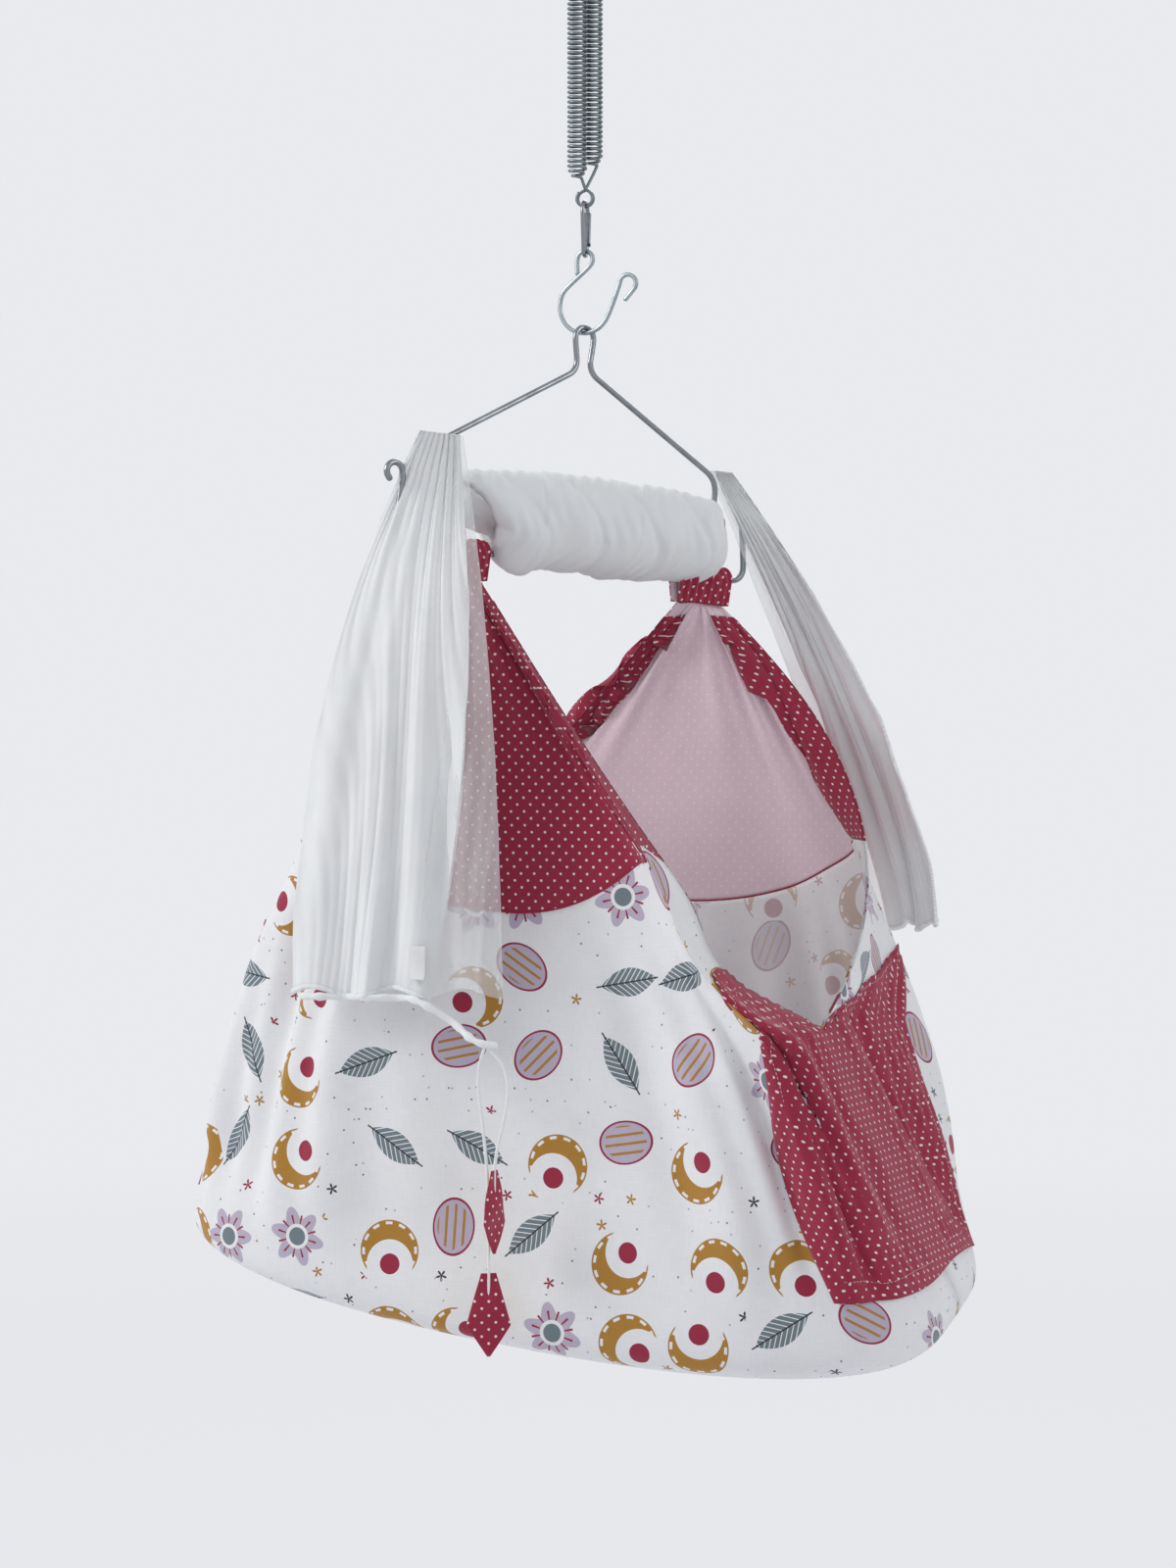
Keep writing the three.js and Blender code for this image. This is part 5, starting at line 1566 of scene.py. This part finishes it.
def net_sheet(name, side, hem, low, high, columns, layer, material, thick):
    """A strip of a drape between two edges, each given by its shares at the head and the foot."""
    across, down = np.meshgrid(np.linspace(0, 1, columns), np.linspace(0, 1, 130))
    bulge = border_bulge_share * np.sin(np.pi * down)
    first = lerp(*low, down) + (bulge if low[0] > 0 else 0)
    last = lerp(*high, down) + (bulge if high[0] < 1 else 0)
    share = lerp(first, last, across)
    points = net_surface(side, hem, share, down, layer)
    piece = grid_piece(name, points, cloth_uv(points), flip=True)
    piece.data.materials.append(materials[material])
    if thick:
        add_modifier(piece, "SOLIDIFY", "thickness", thickness=thick, offset=0.0)
    return piece, points


def make_drapes():
    """The net's two ends: a folded drape on each side, with a thin single layer beside it."""
    for name, side, hem in (("near", 1, near_hem), ("far", -1, far_hem)):
        (head, foot), flat = border_shares[side], drape_cuts[side]
        drape, points = net_sheet(
            f"net_drape_cloth_{name}", side, hem, (0.0, 0.0), (head, foot), 170, 0.0, "net_folds", drape_thick
        )
        under = (head - veil_lap_share, foot - veil_lap_share)
        veil, veil_points = net_sheet(
            f"net_veil_{name}", side, hem, under, (1.0, 1.0), 90, 1.1, "net_veil", 0
        )
        finish_piece(drape, "cradle", "net_mesh", f"net_drape_{name}")
        finish_piece(veil, "cradle", "net_mesh")
        edge = net_surface(side, hem, np.linspace(0, foot, 140), 1.0)
        piece = tube_piece(f"net_edge_{name}", edge, net_edge_radius, 10)
        finish_piece(piece, "cradle", "net_mesh", materials=[materials["net_edge"]])


def hem_point(share):
    """The drawn hem's path: under the near drape, drooping towards its free end."""
    share = np.asarray(share, float)
    under = drape_point(1, near_hem, lerp(0.05, 0.95, share), 1.0)
    droop = hem_droop * smooth((share - 0.55) / 0.45)
    clear = hem_thick / 2 + thread_gap
    return under + stack(hem_beyond * share, -hem_beyond * smooth(share), -clear - droop)


def make_hem():
    """The drawn hem: a soft tube whose radius swells and pulls in where the cord gathers it."""
    line = evenly(hem_point(np.linspace(0, 1, 200)), 1.2 * mm)
    along = lengths_along(line, 0)
    swell = np.sin(along / (2.6 * mm)) * (0.5 + 0.5 * np.sin(along / (9 * mm)))
    radius = hem_thick / 2 - hem_swell + hem_swell * swell
    piece = tube_piece("drawn_hem", line, radius, 16)
    finish_piece(piece, "cradle", "net_mesh", "net_hem", materials=[materials["net_edge"]])


# The drawcords, whose points are listed as offsets from where they leave the hem
cord_thick = 3 * mm
cord_exit_share = 0.97
tab_long = 74 * mm
tab_wide = 40 * mm
tab_thick = 5 * mm
tab_wave = 0.7 * mm
# Half of the kite's width on its way down, as places and shares
tab_outline = ((0, 0.62, 1), (0.34, 1.0, 0.06))
cord_in_tab = 22 * mm
# In millimetres
long_cord = (
    (-2.9, -0.9, 0.3),
    (-7.3, -0.3, -14),
    (-8.5, 0.4, -34),
    (-5, 2.6, -70),
    (-1.2, 3.8, -115),
    (-0.3, 4.1, -158),
    (-0.3, 4.1, -197),
)
short_cord = (
    (2.9, 0.9, -1.3),
    (12.7, 3.1, -13),
    (17.7, 3.7, -32),
    (14.9, 2.7, -60),
    (8.9, 1.8, -86),
    (5.7, 1.9, -106),
)


def make_cords():
    """The two drawcords, and the folded kite of cloth on each one's end."""
    for name, offsets, turn in (("long", long_cord, 24 * degree), ("short", short_cord, 80 * degree)):
        line = hem_point(cord_exit_share) - [0, 0, hem_thick / 2] + np.array(offsets) * mm
        tail = line[-1] - [0, 0, cord_in_tab]
        tab_head = line[-1] - [0, 0, thread_gap]
        line = evenly(np.concatenate([through(line, 200), [tail]]), 1.2 * mm)
        cord = tube_piece(f"drawcord_{name}_cotton", line, cord_thick / 2, 10)
        cord.data.materials.append(materials["white_tape"])
        tab = make_tab(f"cord_tab_{name}_cloth", tab_head, turn)
        finish_piece(cord, "cradle", "white_tape", f"drawcord_{name}")
        finish_piece(tab, "cradle", "crimson_dots", f"cord_tab_{name}")


def make_tab(name, head, turn):
    """A kite of cloth folded in two: bowed faces with a soft edge, and its lining behind."""
    down = np.linspace(0, 1, 44)[:, None]
    half = np.interp(down, *tab_outline) * tab_wide / 2
    angle = around(48)[None, :]
    flat = signed_power(np.cos(angle), 0.8)
    bow = signed_power(np.sin(angle), 0.7)
    wave = tab_wave * np.sin(down * 11 + 2 * flat)
    across = half * flat
    full = 0.35 + 0.65 * np.sin(np.pi * np.clip(down, 0.02, 0.98))
    thick = (tab_thick / 2 - 0.5 * mm) * bow * full + wave
    points = turned(stack(across, thick, -tab_long * down), turn) + head
    uv = np.stack(np.broadcast_arrays(across * np.sign(bow + 0.001), -tab_long * down), axis=-1)
    tab = grid_piece(name, points, uv, wrap=True)
    close_holes(tab)
    tab.data.materials.append(materials["crimson_dots"])
    tab.data.materials.append(materials["mustard_lining"])
    outward = turned(stack(0, -1, 0), turn)
    count = len(tab.data.polygons)
    normals = np.empty(count * 3)
    tab.data.polygons.foreach_get("normal", normals)
    back = normals.reshape(-1, 3) @ outward < -0.3
    tab.data.polygons.foreach_set("material_index", back.astype(np.int32))
    add_modifier(tab, "SUBSURF", "finer", levels=1, render_levels=1)
    return tab


label_thick = 0.5 * mm
label_curl = 1.8 * mm
label_bow = 0.7 * mm


def make_label():
    """The blank label: a small white tape whose foot curls a little off the drape."""
    low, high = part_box("care_label")
    middle = np.array([(low[k] + high[k]) / 2 for k in range(3)])
    half_wide, half_tall = (high[0] - low[0]) / 2, (high[2] - low[2]) / 2
    across, up = np.meshgrid(np.linspace(-1, 1, 16), np.linspace(-1, 1, 30))
    curl = -label_curl * np.clip(-up, 0, 1) ** 2 + label_bow * across**2
    points = stack(middle[0] + across * half_wide, middle[1] + curl, middle[2] + up * half_tall)
    uv = np.stack([across * half_wide, up * half_tall], axis=-1)
    label = grid_piece("blank_label", points, uv)
    label.data.materials.append(materials["white_tape"])
    add_modifier(label, "SOLIDIFY", "thickness", thickness=label_thick, offset=0.0)
    finish_piece(label, "cradle", "white_tape", "care_label")


# The stage: a round pale floor that fades into the world's colour, soft lamps and the camera
floor_level = -1.95
floor_reach = 14.0
# The floor keeps its own shade up to the first distance, and only glows past the second
floor_fade = (3.0, 8.0)
floor_glow_share = 0.85
air_strength = 0.62
# Each lamp: its azimuth from the camera in degrees, its height, how far it stands, its size and its power
lamps = (
    ("lamp_left", -74, 1.0, 3.2, 1.6, 56),
    ("lamp_right", 62, 0.8, 3.4, 1.6, 20),
    ("lamp_behind", 165, 1.6, 3.0, 2.0, 32),
)
axis_pixel_x = 597
frame_wide_pixels = 1200
frame_tall_pixels = 1600
camera_turn = 18 * degree
camera_far = 3.5
camera_height = -0.806
view_tall = 1.472
sensor_tall = 36.0


def seen_plainly(n):
    """1 where the camera, a gloss or a glass looks straight at a surface, and 0 for soft light."""
    path = n.add("LightPath").outputs
    seen = n.calc("MAXIMUM", path["Is Camera Ray"], path["Is Glossy Ray"])
    return n.calc("MAXIMUM", seen, path["Is Transmission Ray"])


def mix_shaders(n, share, first, second, output):
    """Two shaders mixed by a share, put into a tree's output."""
    mixed = n.add("MixShader")
    for socket, value in zip(mixed.inputs, (share, first.outputs[0], second.outputs[0])):
        n.put(socket, value)
    n.put(n.tree.nodes[output].inputs["Surface"], mixed.outputs[0])


def make_stage(settings):
    """The round floor, a world of the floor's colour, three area lamps and the camera."""
    scene = bpy.context.scene
    reach = np.linspace(0, floor_reach, 30)[:, None]
    turn = np.linspace(0, 2 * np.pi, 65)[None, :]
    points = stack(reach * np.cos(turn), reach * np.sin(turn), floor_level)
    floor = grid_piece("studio_floor", points, points[..., :2])
    merge_close(floor, 1 * mm)
    paper = (*settings.paper_color, 1.0)
    n, shader = new_material("studio_paper")
    set_inputs(shader, Base_Color=paper, Roughness=0.95)
    glow = n.add("Emission", Color=paper, Strength=1.0)
    away = n.vector("LENGTH", n.add("TexCoord").outputs["Object"])
    share = n.calc("MULTIPLY", seen_plainly(n), n.remap(away, *floor_fade, floor_glow_share, 1.0))
    mix_shaders(n, share, shader, glow, "Material Output")
    floor.data.materials.append(materials["studio_paper"])
    world = bpy.data.worlds.new("studio_air")
    world.use_nodes = True
    scene.world = world
    air = world.node_tree.nodes["Background"]
    set_inputs(air, Color=tint("eceef2"), Strength=air_strength)
    n = Nodes(world.node_tree)
    shown = n.add("Background", Color=paper, Strength=1.0)
    mix_shaders(n, seen_plainly(n), air, shown, "World Output")
    for name, azimuth, height, far, size, power in lamps:
        lamp = bpy.data.lights.new(name, "AREA")
        lamp.size = size
        lamp.energy = power * settings.lamp_power
        holder = bpy.data.objects.new(name, lamp)
        scene.collection.objects.link(holder)
        angle = camera_turn + azimuth * degree
        place = np.array([far * np.sin(angle), -far * np.cos(angle), height])
        holder.location = place
        aim = np.array([0, 0, camera_height]) - place
        holder.rotation_euler = aim_of(aim)
    camera = bpy.data.cameras.new("photo_camera")
    camera.sensor_fit = "VERTICAL"
    camera.sensor_height = sensor_tall
    camera.lens = sensor_tall * camera_far / view_tall
    camera.shift_x = (frame_wide_pixels / 2 - axis_pixel_x) / frame_tall_pixels
    camera.clip_end = 60
    holder = bpy.data.objects.new("photo_camera", camera)
    holder.location = (
        camera_far * np.sin(camera_turn), -camera_far * np.cos(camera_turn), camera_height
    )
    holder.rotation_euler = (np.pi / 2, 0, camera_turn)
    scene.collection.objects.link(holder)
    scene.camera = holder
    scene.view_settings.view_transform = "Standard"


def aim_of(direction):
    """The turn that points a lamp's own minus Z along a direction."""
    return Vector(direction).to_track_quat("-Z", "Y").to_euler()


# The add-on: one operator for each group of pieces, run in order by main


class CradleSettings(bpy.types.PropertyGroup):
    """Sizes and colours that a user would change."""

    cloth_thickness: bpy.props.FloatProperty(
        name="Cloth thickness",
        description="Thickness of the panels, the yokes and the floor",
        default=panel_thick,
        min=0.4 * mm,
        max=3 * mm,
        unit="LENGTH",
    )
    crimson_color: bpy.props.FloatVectorProperty(
        name="Crimson",
        description="Colour of the pin-dot cotton's front",
        default=CRIMSON[:3],
        min=0.0,
        max=1.0,
        subtype="COLOR",
    )
    paper_color: bpy.props.FloatVectorProperty(
        name="Paper",
        description="Colour of the floor and of the air behind the cradle",
        default=tint("e9eaee")[:3],
        min=0.0,
        max=1.0,
        subtype="COLOR",
    )
    lamp_power: bpy.props.FloatProperty(
        name="Lamp power",
        description="Scales the three lamps",
        default=1.0,
        min=0.1,
        max=4.0,
    )


class CRADLE_OT_stage(bpy.types.Operator):
    """Makes the floor, the lamps and the camera."""

    bl_idname = "cradle.stage"
    bl_label = "Stage"

    def execute(self, context):
        make_stage(context.scene.cradle)
        return {"FINISHED"}


class CRADLE_OT_materials(bpy.types.Operator):
    """Makes all materials."""

    bl_idname = "cradle.materials"
    bl_label = "Materials"

    def execute(self, context):
        make_materials(context.scene.cradle)
        return {"FINISHED"}


class CRADLE_OT_cords(bpy.types.Operator):
    """Makes the two drawcords and their tabs."""

    bl_idname = "cradle.cords"
    bl_label = "Drawcords"

    def execute(self, context):
        make_cords()
        return {"FINISHED"}


class CRADLE_OT_wires(bpy.types.Operator):
    """Makes the ring, springs, hooks, hanger and rod."""

    bl_idname = "cradle.wires"
    bl_label = "Wires"

    def execute(self, context):
        make_wires()
        return {"FINISHED"}


class CRADLE_OT_sling(bpy.types.Operator):
    """Makes the printed panels, the yokes and the floor."""

    bl_idname = "cradle.sling"
    bl_label = "Sling"

    def execute(self, context):
        settings = context.scene.cradle
        make_panels(settings)
        make_floor(settings)
        return {"FINISHED"}


class CRADLE_OT_hems(bpy.types.Operator):
    """Makes the hems along the open edges."""

    bl_idname = "cradle.hems"
    bl_label = "Edge hems"

    def execute(self, context):
        make_edge_hems()
        return {"FINISHED"}


class CRADLE_OT_patches(bpy.types.Operator):
    """Makes the two end patches and their stitching."""

    bl_idname = "cradle.patches"
    bl_label = "End patches"

    def execute(self, context):
        make_patches()
        return {"FINISHED"}


class CRADLE_OT_sleeves(bpy.types.Operator):
    """Makes the two sleeves round the rod."""

    bl_idname = "cradle.sleeves"
    bl_label = "Rod sleeves"

    def execute(self, context):
        make_sleeves()
        return {"FINISHED"}


class CRADLE_OT_pad(bpy.types.Operator):
    """Makes the mattress pad."""

    bl_idname = "cradle.pad"
    bl_label = "Mattress pad"

    def execute(self, context):
        make_pad()
        return {"FINISHED"}


class CRADLE_OT_net(bpy.types.Operator):
    """Makes the net roll, the drapes and the drawn hem."""

    bl_idname = "cradle.net"
    bl_label = "Net"

    def execute(self, context):
        make_roll()
        make_drapes()
        make_hem()
        return {"FINISHED"}


class CRADLE_OT_label(bpy.types.Operator):
    """Makes the blank label."""

    bl_idname = "cradle.label"
    bl_label = "Blank label"

    def execute(self, context):
        make_label()
        return {"FINISHED"}


OPERATORS = (
    CRADLE_OT_stage,
    CRADLE_OT_materials,
    CRADLE_OT_cords,
    CRADLE_OT_wires,
    CRADLE_OT_sling,
    CRADLE_OT_hems,
    CRADLE_OT_patches,
    CRADLE_OT_sleeves,
    CRADLE_OT_pad,
    CRADLE_OT_net,
    CRADLE_OT_label,
)


class CRADLE_PT_panel(bpy.types.Panel):
    """The sidebar panel that lists the cradle's operators."""

    bl_label = "Hanging baby cradle"
    bl_space_type = "VIEW_3D"
    bl_region_type = "UI"
    bl_category = "Cradle"

    def draw(self, context):
        for key in ("cloth_thickness", "crimson_color", "paper_color", "lamp_power"):
            self.layout.prop(context.scene.cradle, key)
        for kind in OPERATORS:
            self.layout.operator(kind.bl_idname)


def register():
    """Registers the settings, the operators and the panel."""
    for kind in (CradleSettings, *OPERATORS, CRADLE_PT_panel):
        bpy.utils.register_class(kind)
    bpy.types.Scene.cradle = bpy.props.PointerProperty(type=CradleSettings)


def unregister():
    """Removes them again."""
    del bpy.types.Scene.cradle
    for kind in (CRADLE_PT_panel, *reversed(OPERATORS), CradleSettings):
        bpy.utils.unregister_class(kind)


def main():
    """Makes every piece in order."""
    register()
    bpy.ops.cradle.stage()
    bpy.ops.cradle.materials()
    bpy.ops.cradle.cords()
    bpy.ops.cradle.wires()
    bpy.ops.cradle.sling()
    bpy.ops.cradle.hems()
    bpy.ops.cradle.patches()
    bpy.ops.cradle.sleeves()
    bpy.ops.cradle.pad()
    bpy.ops.cradle.net()
    bpy.ops.cradle.label()


if __name__ == "__main__":
    main()
